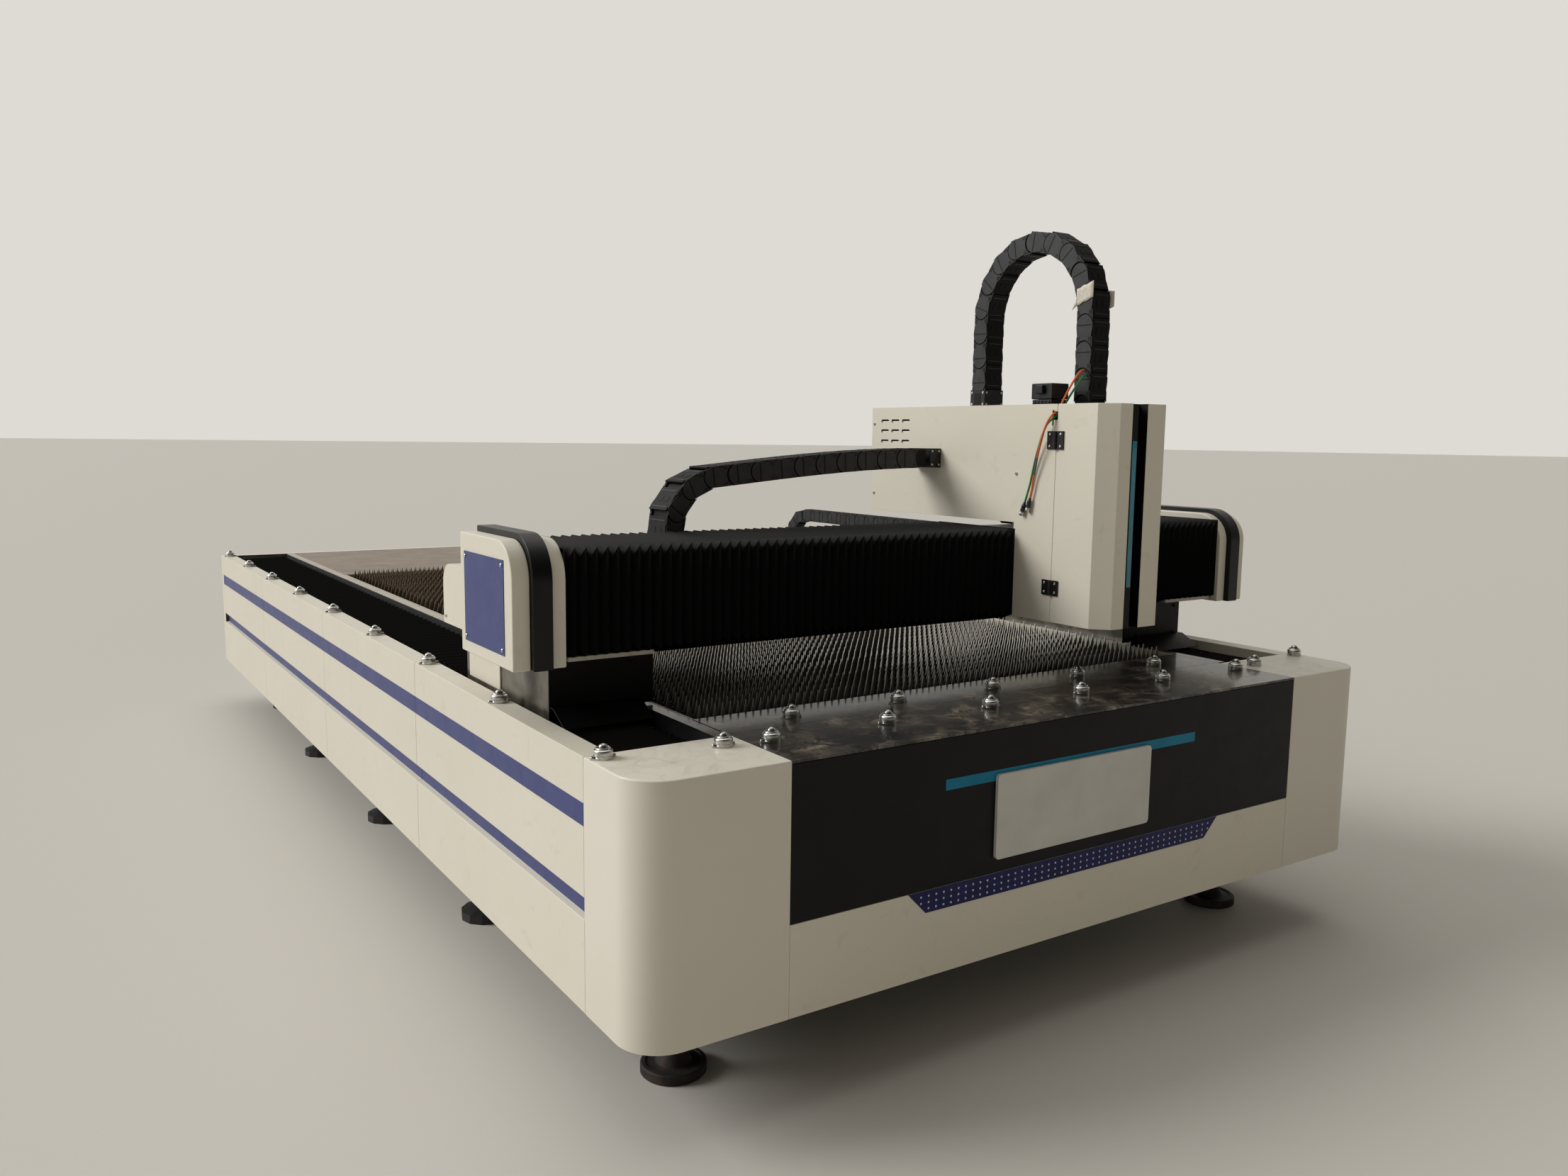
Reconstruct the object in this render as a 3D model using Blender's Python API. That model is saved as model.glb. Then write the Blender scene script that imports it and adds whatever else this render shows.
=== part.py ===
"""Open fiber laser cutting machine with a 3 m by 1.5 m slat bed.

A welded bed with sheet-metal covers carries a travelling gantry. On the gantry rides a carriage
with the Z axis and the cutting head under a white hood whose front opens as a door. Bellows
cover the guide rails and link chains carry the cables to each moving body.

Units are metres, +Z is up, +Y runs from the front of the machine to its rear and +X along the
gantry. The origin lies on the floor under the middle of the machine. Places in this file are
measured from the bed's front left corner at table height, and the right-hand pieces are
mirrored copies of the left-hand ones.
"""

import math

import bmesh
import bpy
from mathutils import Matrix, Vector

# Driving dimensions of the bed
BED_WIDTH = 2.30
BED_LENGTH = 4.70
TABLE_HEIGHT = 0.75
SKIRT_DEPTH = 0.532
COVER_WIDTH = 0.335
COVER_LENGTH = 0.235
CORNER_RADIUS = 0.095
SHEET = 0.003
GAP = 0.0003

# Slat bed
SLATS_FRONT = 0.405
SLATS_REAR = 3.555
SLAT_COUNT = 63
SLAT_TEETH = 7
SLAT_TIP = 0.022
TOOTH_HEIGHT = 0.030

# Gantry, carriage and head at rest
BEAM_FRONT = 0.505
BEAM_REAR = 0.775
BEAM_BOTTOM = 0.1403
BEAM_TOP = 0.372
HOOD_LEFT = 1.370
HOOD_RIGHT = 1.605
HOOD_TOP = 0.720
HOOD_BOTTOM = 0.150
SEAM_Y = 0.3315
PINION_RADIUS = 0.030

# Link chains
LINK_PITCH = 0.070
LINK_HEIGHT = 0.055

LEFT, RIGHT = 1, -1
CORNER = {
    LEFT: Vector((-BED_WIDTH / 2, -BED_LENGTH / 2, TABLE_HEIGHT)),
    RIGHT: Vector((BED_WIDTH / 2, -BED_LENGTH / 2, TABLE_HEIGHT)),
}
SIDE_NAME = {LEFT: "left", RIGHT: "right"}


def clear_scene():
    for old in list(bpy.data.objects):
        bpy.data.objects.remove(old, do_unlink=True)


def finish(name, colour, roughness, metallic=0.0):
    material = bpy.data.materials.new(name)
    material.use_nodes = True
    shader = material.node_tree.nodes["Principled BSDF"]
    shader.inputs["Base Color"].default_value = (*colour, 1.0)
    shader.inputs["Roughness"].default_value = roughness
    shader.inputs["Metallic"].default_value = metallic
    return material


def empty_at(name, place, parent=None):
    """An empty on a joint's axis, given from the bed's front left corner."""
    axis = bpy.data.objects.new(name, None)
    bpy.context.collection.objects.link(axis)
    axis.parent = parent
    axis.location = CORNER[LEFT] + Vector(place)
    if parent:
        axis.location -= world_place(parent)
    return axis


def world_place(thing):
    place = thing.location.copy()
    while thing.parent:
        thing = thing.parent
        place += thing.location
    return place


def node(name, shape, material, parent=None, side=LEFT, smooth=False):
    """Make an object of a bmesh whose places are given from the corner of its side."""
    if side == RIGHT:
        bmesh.ops.scale(shape, vec=(-1, 1, 1), verts=shape.verts)
    bmesh.ops.recalc_face_normals(shape, faces=shape.faces)
    mesh = bpy.data.meshes.new(name)
    shape.to_mesh(mesh)
    shape.free()
    if smooth:
        mesh.shade_smooth()
        mesh.set_sharp_from_angle(angle=math.radians(35))
    piece = bpy.data.objects.new(name, mesh)
    bpy.context.collection.objects.link(piece)
    piece.data.materials.append(material)
    piece.parent = parent
    piece.location = CORNER[side] - (world_place(parent) if parent else Vector())
    return piece


def combine(piece, operation, *tools):
    """Join tools to a piece or cut it with them, and keep the tools as hidden guides."""
    for tool in tools:
        tool.hide_render = True
        tool.display_type = "WIRE"
        step = piece.modifiers.new(f"{operation.lower()} {tool.name}", "BOOLEAN")
        step.operation = operation
        step.solver = "EXACT"
        step.object = tool
    return piece


def box(shape, low, high):
    """A plain block between two corners."""
    size = Vector(high) - Vector(low)
    middle = (Vector(high) + Vector(low)) / 2
    place = Matrix.Translation(middle) @ Matrix.Diagonal((*size, 1.0))
    bmesh.ops.create_cube(shape, size=1.0, matrix=place)
    return shape


def rod(shape, centre, radius, low, high, sides=16, axis="Z"):
    """A round bar along an axis, between two places on it."""
    turn = {"Z": Matrix(), "Y": Matrix.Rotation(math.pi / 2, 4, "X"), "X": Matrix.Rotation(math.pi / 2, 4, "Y")}
    along = {"X": 0, "Y": 1, "Z": 2}[axis]
    middle = list(centre)
    middle.insert(along, (low + high) / 2)
    place = Matrix.Translation(middle) @ turn[axis]
    bmesh.ops.create_cone(shape, cap_ends=True, segments=sides, radius1=radius, radius2=radius,
                          depth=high - low, matrix=place)
    return shape


def prism(shape, outline, axis, low, high):
    """Extrude a closed outline along an axis. The outline's points lie in the plane across it."""
    along = {"X": 0, "Y": 1, "Z": 2}[axis]
    corners = []
    for point in outline:
        place = list(point)
        place.insert(along, low)
        corners.append(shape.verts.new(place))
    base = shape.faces.new(corners)
    grown = bmesh.ops.extrude_face_region(shape, geom=[base])
    lifted = [item for item in grown["geom"] if isinstance(item, bmesh.types.BMVert)]
    push = Vector((0, 0, 0))
    push[along] = high - low
    bmesh.ops.translate(shape, vec=push, verts=lifted)
    return shape


def folded(path, thickness=SHEET):
    """The closed outline of a folded sheet: the path is its outer side, the metal lies to its right."""
    points = [Vector(p) for p in path]
    inner = []
    for i, point in enumerate(points):
        before = (point - points[i - 1]).normalized() if i > 0 else None
        after = (points[i + 1] - point).normalized() if i < len(points) - 1 else None
        ways = [way for way in (before, after) if way is not None]
        sides = [Vector((way.y, -way.x)) for way in ways]
        middle = sum(sides, Vector((0, 0))).normalized()
        inner.append(point + middle * (thickness / middle.dot(sides[0])))
    return points + inner[::-1]


def loft(shape, rings):
    """Join rings of equal point counts with quads and close both ends."""
    loops = [[shape.verts.new(point) for point in ring] for ring in rings]
    for low, high in zip(loops, loops[1:]):
        for i in range(len(low)):
            j = (i + 1) % len(low)
            shape.faces.new((low[i], low[j], high[j], high[i]))
    shape.faces.new(loops[0])
    shape.faces.new(loops[-1])
    return shape


def rectangular_tube(shape, low, high, wall, axis):
    """A hollow section along an axis with open ends."""
    along = {"X": 0, "Y": 1, "Z": 2}[axis]
    loops = []
    for end in (low[along], high[along]):
        for inset in (0.0, wall):
            flat_low = [low[i] + inset for i in range(3) if i != along]
            flat_high = [high[i] - inset for i in range(3) if i != along]
            ring = []
            for u, v in ((0, 0), (1, 0), (1, 1), (0, 1)):
                place = [flat_high[0] if u else flat_low[0], flat_high[1] if v else flat_low[1]]
                place.insert(along, end)
                ring.append(shape.verts.new(place))
            loops.append(ring)
    outer_near, inner_near, outer_far, inner_far = loops
    for first, second in ((outer_near, outer_far), (outer_far, inner_far),
                          (inner_far, inner_near), (inner_near, outer_near)):
        for i in range(4):
            j = (i + 1) % 4
            shape.faces.new((first[i], first[j], second[j], second[i]))
    return shape


def open_shell(name, shape, away, material, parent=None, side=LEFT, wall=SHEET):
    """A sheet-metal shell: a closed form without the faces that away() picks, given a thickness."""
    bmesh.ops.recalc_face_normals(shape, faces=shape.faces)
    gone = [face for face in shape.faces if away(face.normal, face.calc_center_median())]
    bmesh.ops.delete(shape, geom=gone, context="FACES")
    mirrored = side == RIGHT
    if mirrored:
        bmesh.ops.scale(shape, vec=(-1, 1, 1), verts=shape.verts)
        bmesh.ops.reverse_faces(shape, faces=shape.faces)
    mesh = bpy.data.meshes.new(name)
    shape.to_mesh(mesh)
    shape.free()
    piece = bpy.data.objects.new(name, mesh)
    bpy.context.collection.objects.link(piece)
    piece.data.materials.append(material)
    piece.parent = parent
    piece.location = CORNER[side] - (world_place(parent) if parent else Vector())
    thick = piece.modifiers.new("sheet thickness", "SOLIDIFY")
    thick.thickness = wall
    thick.offset = -1.0
    thick.use_even_offset = True
    thick.use_quality_normals = True
    return piece


BALL_UNIT_SIDES = 6
BALL_UNIT_CUP = 0.0195


def ball_units(name, places, material, side=LEFT):
    """Ball transfer units in zinc cups: an eared flange, a turned cup and the crown of the ball."""
    shape = bmesh.new()
    turns = [2 * math.pi * (i + 0.5) / BALL_UNIT_SIDES for i in range(BALL_UNIT_SIDES)]
    steps = ((BALL_UNIT_CUP, 0.003), (BALL_UNIT_CUP, 0.017), (0.0085, 0.031))
    for x, y in places:
        eared = [(x + 0.028 * math.cos(t), y + 0.019 * math.sin(t)) for t in turns]
        rings = [[(u, v, -0.001) for u, v in eared], [(u, v, 0.003) for u, v in eared]]
        for radius, height in steps:
            rings.append([(x + radius * math.cos(t), y + radius * math.sin(t), height) for t in turns])
        loft(shape, rings)
    return node(name, shape, material, side=side)


def side_covers(side, paint, zinc):
    """Upper and lower side panels and the rounded corner cover of one side."""
    where = SIDE_NAME[side]
    beam_face = 0.0622
    upper_path = [(0.058, -0.030), (0.058, 0.0), (0.0, 0.0), (0.0, -0.286), (beam_face, -0.286)]
    upper = node(f"side_panel_upper_{where}",
                 prism(bmesh.new(), folded(upper_path[::-1]), "Y", COVER_LENGTH + GAP, PANEL_REAR), paint, side=side)
    units = [(0.029, 0.23 + 0.55 * k) for k in range(1, 9)]
    units[-1] = (0.029, 4.615)
    combine(upper, "UNION", ball_units(f"guide_units_{where}", units, zinc, side))

    groove_top = -0.286 - SHEET - GAP
    lower_path = [(0.014, groove_top), (0.014, -0.320), (0.0, -0.334), (0.0, -SKIRT_DEPTH), (0.10, -SKIRT_DEPTH)]
    node(f"side_panel_lower_{where}",
         prism(bmesh.new(), folded(lower_path[::-1]), "Y", COVER_LENGTH + GAP, PANEL_REAR), paint, side=side)

    arc = [(CORNER_RADIUS - CORNER_RADIUS * math.cos(t), CORNER_RADIUS - CORNER_RADIUS * math.sin(t))
           for t in [math.pi / 2 * i / 8 for i in range(9)]]
    plan = [(0.0, COVER_LENGTH)] + arc + [(COVER_WIDTH - GAP, 0.0), (COVER_WIDTH - GAP, COVER_LENGTH)]
    cover = open_shell(f"corner_cover_{where}", prism(bmesh.new(), plan, "Z", -SKIRT_DEPTH, 0.0),
                       lambda n, c: n.z < -0.9 or n.y > 0.9 or n.x > 0.9, paint, side=side)
    corner_units = ball_units(f"guide_corner_units_{where}", [(0.029, 0.205), (0.277, 0.165)], zinc, side)
    combine(cover, "UNION", corner_units)


PANEL_REAR = 4.6497


def side_frame(side, frame_paint, iron):
    """Welded side beam with trough wall, guide rail, rack and its three middle levelling feet."""
    where = SIDE_NAME[side]
    beam = node(f"frame_beam_{where}",
                rectangular_tube(bmesh.new(), (0.0625, 0.06, -0.5287), (0.3337, 4.64, -0.115), 0.010, "Y"),
                frame_paint, side=side)
    wall = node(f"guide_trough_wall_{where}",
                box(bmesh.new(), (0.300, 0.06, -0.120), (0.3337, 4.64, -SHEET - GAP)), frame_paint, side=side)
    rail = node(f"guide_y_rail_{where}",
                box(bmesh.new(), (RAIL_LEFT, 0.30, -0.118), (RAIL_RIGHT, 4.60, RAIL_TOP)), frame_paint, side=side)
    rack = node(f"guide_y_rack_{where}",
                box(bmesh.new(), (RACK_FACE, 0.30, -0.118), (0.280, 4.60, -0.085)), frame_paint, side=side)
    feet = bmesh.new()
    for y in MIDDLE_FEET:
        levelling_foot(feet, 0.18, y, top=-0.525)
    middle_feet = node(f"guide_middle_feet_{where}", feet, iron, side=side)
    combine(beam, "UNION", wall, rail, rack, middle_feet)
    for end, y in (("front", 0.300), ("rear", 4.400)):
        node(f"levelling_foot_{end}_{where}", levelling_foot(bmesh.new(), 0.235, y, top=-0.5290),
             iron, side=side, smooth=True)


RAIL_LEFT, RAIL_RIGHT, RAIL_TOP = 0.150, 0.173, -0.090
RACK_FACE = 0.255
MIDDLE_FEET = (1.33, 2.36, 3.39)


def levelling_foot(shape, x, y, top):
    """Turned foot: a disc on the floor, a cone to the stud, and a lock nut under the beam."""
    profile = ((0.073, -TABLE_HEIGHT), (0.073, -TABLE_HEIGHT + 0.024), (0.014, -TABLE_HEIGHT + 0.040),
               (0.014, top - 0.028), (0.026, top - 0.028), (0.026, top))
    turns = [2 * math.pi * i / 12 for i in range(12)]
    rings = [[(x + r * math.cos(t), y + r * math.sin(t), z) for t in turns] for r, z in profile]
    return loft(shape, rings)


def bed_ends(paint, black, steel, frame_paint, zinc):
    """Front and rear covers, top plates and cross members between the side beams."""
    left, right = COVER_WIDTH + GAP, BED_WIDTH - COVER_WIDTH - GAP
    plate = 0.006
    front = node("front_top_plate", box(bmesh.new(), (left, 0.0, -plate), (right, 0.245 - GAP, 0.0)), steel)
    combine(front, "UNION", ball_units("guide_front_units", [(0.383 + 0.307 * k, 0.150) for k in range(6)], zinc))
    second = node("slat_end_plate",
                  box(bmesh.new(), (left, 0.245 + GAP, -plate), (right, 0.400, 0.0)), steel)
    combine(second, "UNION", ball_units("guide_second_units", [(0.536 + 0.307 * k, 0.305) for k in range(5)], zinc))

    seam = -0.3345
    top = -plate - GAP
    upper = [(0.0497, top), (0.0, top), (0.0, seam), (0.0497, seam)]
    node("front_panel_upper", prism(bmesh.new(), folded(upper[::-1]), "X", left, right), black)
    lower = [(0.0497, seam - 2 * GAP), (0.0, seam - 2 * GAP), (0.0, -SKIRT_DEPTH), (0.0497, -SKIRT_DEPTH)]
    node("front_panel_lower", prism(bmesh.new(), folded(lower[::-1]), "X", left, right), paint)

    table = [(3.5603, -0.030), (3.5603, 0.0), (PANEL_REAR, 0.0), (PANEL_REAR, -0.030)]
    node("rear_table_plate", prism(bmesh.new(), folded(table), "X", left, right), paint)
    inner = PANEL_REAR + 2 * GAP
    rear = [(inner, 0.0), (BED_LENGTH, 0.0), (BED_LENGTH, -SKIRT_DEPTH), (inner, -SKIRT_DEPTH)]
    node("rear_panel", prism(bmesh.new(), folded(rear), "X", 0.0, BED_WIDTH), paint)

    inside = (0.3337 + GAP, BED_WIDTH - 0.3337 - GAP)
    for name, y_low, y_high, z_high in (("front", 0.050, 0.385, -plate - GAP), ("centre", 1.950, 2.100, -0.1353),
                                        ("rear", 4.450, 4.640, -SHEET - GAP)):
        node(f"frame_cross_{name}",
             rectangular_tube(bmesh.new(), (inside[0], y_low, -0.5287), (inside[1], y_high, z_high), 0.008, "X"),
             frame_paint)


def slat_bed(steel):
    """Serrated slats across the bed, slotted into a comb rail on each side."""
    rails = bmesh.new()
    for low, high in ((COMB_LEFT, COMB_RIGHT), (BED_WIDTH - COMB_RIGHT, BED_WIDTH - COMB_LEFT)):
        box(rails, (low, 0.4003, -0.135), (high, 3.5597, 0.0))
    base = node("slat_bed", rails, steel)

    pitch = (SLATS_REAR - SLATS_FRONT) / SLAT_COUNT
    slats = bmesh.new()
    for row in range(SLAT_COUNT):
        toothed_slat(slats, SLATS_FRONT + (row + 0.5) * pitch)
    ends = bmesh.new()
    for y_low, y_high in ((0.4003, 0.4043), (3.5557, 3.5597)):
        box(ends, (0.350, y_low, -0.130), (BED_WIDTH - 0.350, y_high, -0.035))
    combine(base, "UNION", node("guide_slats", slats, steel), node("guide_slat_ends", ends, steel))


COMB_LEFT, COMB_RIGHT = 0.3340, 0.3667
SLAT_HALF = 0.002


def toothed_slat(shape, y):
    """One slat on edge: a plate whose teeth rise from its top edge and narrow to a point each."""
    start, stop = COMB_RIGHT - 0.006, BED_WIDTH - COMB_RIGHT + 0.006
    step = (stop - start) / SLAT_TEETH
    valley, foot = SLAT_TIP - TOOTH_HEIGHT, -0.120
    tips = [shape.verts.new((start + (i + 0.5) * step, y, SLAT_TIP)) for i in range(SLAT_TEETH)]
    faces = []
    for offset in (-SLAT_HALF, SLAT_HALF):
        top = [shape.verts.new((start + i * step, y + offset, valley)) for i in range(SLAT_TEETH + 1)]
        bottom = [shape.verts.new((x, y + offset, foot)) for x in (start, stop)]
        shape.faces.new([bottom[0]] + top + [bottom[1]])
        for i, tip in enumerate(tips):
            shape.faces.new((top[i], tip, top[i + 1]))
        faces.append((top, bottom))
    (near, near_foot), (far, far_foot) = faces
    for i, tip in enumerate(tips):
        shape.faces.new((near[i], far[i], tip))
        shape.faces.new((near[i + 1], tip, far[i + 1]))
    shape.faces.new((near[0], near_foot[0], far_foot[0], far[0]))
    shape.faces.new((near[-1], near_foot[1], far_foot[1], far[-1]))
    shape.faces.new((near_foot[0], near_foot[1], far_foot[1], far_foot[0]))


def cap_profile(front, rear, bottom, top, radius):
    """Side outline of a gantry end cap with its rounded top front corner, as (y, z) points."""
    arc = [(front + radius - radius * math.cos(t), top - radius + radius * math.sin(t))
           for t in [math.pi / 2 * i / 6 for i in range(7)]]
    return [(front, bottom)] + arc + [(rear, top), (rear, bottom)]


def gantry_end(side, gantry, paint, black, steel):
    """Saddle on the guide rail, its front cover, the drive under its cover, and the end cap."""
    where = SIDE_NAME[side]
    saddle = node(f"saddle_{where}",
                  rectangular_tube(bmesh.new(), (0.077, 0.593, -0.055), (0.297, 1.147, BEAM_BOTTOM - GAP), 0.012, "Y"),
                  steel, gantry, side)
    blocks = bmesh.new()
    for y in (0.640, 1.040):
        for low, high in ((RAIL_LEFT - 0.025, RAIL_LEFT - GAP), (RAIL_RIGHT + GAP, RAIL_RIGHT + 0.020)):
            box(blocks, (low, y, -0.110), (high, y + 0.070, -0.050))
    pads = bmesh.new()
    for y in (0.640, 1.040):
        box(pads, (RAIL_LEFT - 0.010, y, RAIL_TOP + GAP), (RAIL_RIGHT + 0.010, y + 0.070, -0.050))
    hole = node(f"guide_drive_hole_{where}", rod(bmesh.new(), PINION_AXIS, 0.038, -0.10, 0.20), steel, gantry, side)
    combine(saddle, "UNION", node(f"guide_blocks_{where}", blocks, steel, gantry, side),
            node(f"guide_pads_{where}", pads, steel, gantry, side))
    combine(saddle, "DIFFERENCE", hole)

    plate = [(0.075, -0.085), (0.297, -0.085), (0.297, 0.004), (0.335, 0.004), (0.335, 0.130), (0.075, 0.130)]
    node(f"saddle_cover_{where}", prism(bmesh.new(), plate, "Y", 0.5897, 0.5927), black, gantry, side)

    cover = [(0.895, 0.1403), (0.895, 0.296), (1.104, 0.296)]
    cover += [(1.104 + 0.05 * math.sin(t), 0.246 + 0.05 * math.cos(t)) for t in [math.pi / 8 * i for i in range(1, 5)]]
    cover += [(1.154, 0.1403)]
    drive = node(f"y_drive_{where}", prism(bmesh.new(), cover, "X", 0.020, 0.297), paint, gantry, side)
    nose = node(f"guide_gearbox_{where}", rod(bmesh.new(), PINION_AXIS, 0.036, -0.0780, 0.15), paint, gantry, side)
    combine(drive, "UNION", nose)

    full = cap_profile(0.459, 0.781, 0.1334, 0.405, 0.085)
    core = cap_profile(0.479, 0.761, 0.1534, 0.385, 0.065)
    rings = []
    for outline, x in ((full, -0.0563), (full, -0.0165), (core, -0.0165), (core, 0.0285), (full, 0.0285), (full, 0.0633)):
        rings.append([(x, y, z) for y, z in outline])
    node(f"end_cap_{where}", loft(bmesh.new(), rings), paint, gantry, side, smooth=True)
    band_outer = cap_profile(0.444, 0.781, 0.1330, 0.418, 0.098)
    band_inner = cap_profile(0.479 - GAP, 0.761 + GAP, 0.1534 - GAP, 0.385 + GAP, 0.065)
    band = bmesh.new()
    loops = []
    for x in (-0.0165 + GAP, 0.0285 - GAP):
        for outline in (band_outer, band_inner):
            loops.append([band.verts.new((x, y, z)) for y, z in outline])
    for first, second in ((0, 2), (2, 3), (3, 1), (1, 0)):
        for i in range(len(band_outer)):
            j = (i + 1) % len(band_outer)
            band.faces.new((loops[first][i], loops[first][j], loops[second][j], loops[second][i]))
    node(f"cap_band_{where}", band, black, gantry, side, smooth=True)

    pinion_axis = empty_at(f"axis_y_pinion_{where}",
                           (PINION_AXIS[0] if side == LEFT else BED_WIDTH - PINION_AXIS[0], PINION_AXIS[1], -0.1), gantry)
    node(f"y_pinion_{where}", pinion(PINION_AXIS, -0.1125, -0.0783, "Z"), steel, pinion_axis, side)


PINION_AXIS = (RACK_FACE - 0.0336, 1.000)
PINION_TEETH = 14


def pinion(centre, low, high, axis):
    """A small spur gear as an extruded tooth outline."""
    root, tip = PINION_RADIUS - 0.003, PINION_RADIUS + 0.003
    outline = []
    for i in range(PINION_TEETH):
        for part, radius in ((0.0, root), (0.3, root), (0.45, tip), (0.85, tip)):
            turn = 2 * math.pi * (i + part) / PINION_TEETH
            outline.append((centre[0] + radius * math.cos(turn), centre[1] + radius * math.sin(turn)))
    return prism(bmesh.new(), outline, axis, low, high)


def gantry_beam(gantry, paint, steel):
    """Box beam with two guide rails and a rack on its front face and the chain tray behind."""
    ends = (0.0636, BED_WIDTH - 0.0636)
    beam = node("gantry_beam",
                rectangular_tube(bmesh.new(), (ends[0], BEAM_FRONT, BEAM_BOTTOM), (ends[1], BEAM_REAR, BEAM_TOP),
                                 0.010, "X"), paint, gantry)
    rails = bmesh.new()
    for low, high in ((0.165, 0.185), (0.335, 0.355), (X_RACK_BOTTOM, 0.280)):
        box(rails, (0.080, BEAM_FRONT - 0.020, low), (BED_WIDTH - 0.080, BEAM_FRONT + 0.004, high))
    tray_path = [(0.771, 0.2127), (0.893, 0.2127), (0.893, 0.2500)]
    tray = node("guide_x_tray", prism(bmesh.new(), folded(tray_path[::-1]), "X", 0.080, 1.330), paint, gantry)
    combine(beam, "UNION", node("guide_x_rails", rails, steel, gantry), tray)


X_RACK_BOTTOM = 0.262


def pleats(count):
    """Fold heights along a bellows: 1 on a peak and 0 in a valley."""
    return [i % 2 for i in range(2 * count + 1)]


def x_bellows(name, x_low, x_high, count, fabric, parent):
    """Bellows hooked over the gantry beam: front, top and a lip below."""
    rings = []
    marks = pleats(count)
    for i, peak in enumerate(marks):
        x = x_low + (x_high - x_low) * i / (len(marks) - 1)
        front = 0.470 if peak else 0.4815
        top = 0.388 if peak else 0.3765
        bottom = 0.148 if peak else 0.155
        outer = [(0.484, bottom), (front, bottom), (front, top), (0.782, top)]
        inner = [(0.782, top - 0.002), (front + 0.002, top - 0.002), (front + 0.002, bottom + 0.002),
                 (0.484, bottom + 0.002)]
        rings.append([(x, y, z) for y, z in outer + inner])
    return node(name, loft(bmesh.new(), rings), fabric, parent)


def y_bellows(name, y_low, y_high, count, fabric, side):
    """Bellows over the guide rail in the side trough."""
    rings = []
    marks = pleats(count)
    for i, peak in enumerate(marks):
        y = y_low + (y_high - y_low) * i / (len(marks) - 1)
        top = -0.012 if peak else -0.034
        rings.append([(0.066, y, top), (0.296, y, top), (0.296, y, top - 0.003), (0.066, y, top - 0.003)])
    return node(name, loft(bmesh.new(), rings), fabric, side=side)


def route_points(stretches):
    """Points a link pitch apart along a list of stretches, each a function of 0 to 1 in a plane."""
    fine = []
    for stretch in stretches:
        fine += [Vector(stretch(i / 60)) for i in range(61)]
    chosen = [fine[0]]
    walked = 0.0
    for before, after in zip(fine, fine[1:]):
        walked += (after - before).length
        if walked >= LINK_PITCH:
            chosen.append(after)
            walked = 0.0
    if (chosen[-1] - fine[-1]).length < LINK_PITCH / 3:
        chosen.pop()
    return chosen + [fine[-1]]


def straight(start, stop):
    return lambda t: (start[0] + (stop[0] - start[0]) * t, start[1] + (stop[1] - start[1]) * t)


def arc(centre, radius, first, last):
    return lambda t: (centre[0] + radius * math.cos(math.radians(first + (last - first) * t)),
                      centre[1] + radius * math.sin(math.radians(first + (last - first) * t)))


def link_chain(name, stretches, across, width_low, width_high, plastic, parent=None):
    """Energy chain: overlapping links along a route, each wide where it covers the one before."""
    points = route_points(stretches)
    rings = []
    for i, (here, after) in enumerate(zip(points, points[1:])):
        for end, slim in ((here, 0.0), (after, 0.0035)):
            before = points[max(i - 1, 0)] if end is here else here
            ahead = after if end is here else points[min(i + 2, len(points) - 1)]
            way = (ahead - before).normalized()
            normal = Vector((-way.y, way.x))
            half = LINK_HEIGHT / 2 - slim
            shift = way * (0.0005 if end is here else -0.0005)
            corners = []
            for up, wide in ((-1, width_low + slim), (1, width_low + slim), (1, width_high - slim), (-1, width_high - slim)):
                flat = list(end + shift + normal * half * up)
                flat.insert(across, wide)
                corners.append(flat)
            rings.append(corners)
    return node(name, loft(bmesh.new(), rings), plastic, parent)


def chains(gantry, carriage, plastic):
    """The three cable chains with their loops at rest."""
    turn, z_turn = Vector((0.6345, 0.3835)), Vector((0.5595, 0.966))
    reach = HOOD_LEFT - GAP - turn.x
    link_chain("x_chain", [
        straight((1.200, turn.y - 0.14), (turn.x, turn.y - 0.14)),
        arc(turn, 0.14, 270, 90),
        lambda t: (turn.x + reach * t, turn.y + 0.14 + 0.048 * math.sin(math.pi / 2 * t)),
    ], 1, 0.785, 0.885, plastic, gantry)
    link_chain("y_chain", [
        straight((2.690, 0.0075), (2.8475, 0.0075)),
        arc(Vector((2.8475, 0.1325)), 0.125, -90, 90),
        straight((2.8475, 0.2575), (1.100, 0.2575)),
    ], 0, 2.3032, 2.3534, plastic)
    link_chain("z_chain", [
        straight((0.759, HOOD_TOP + GAP), (0.759, z_turn.y)),
        arc(z_turn, 0.1995, 0, 180),
        straight((0.360, z_turn.y), (0.360, 0.660)),
    ], 0, 1.485, 1.553, plastic, carriage)


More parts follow.
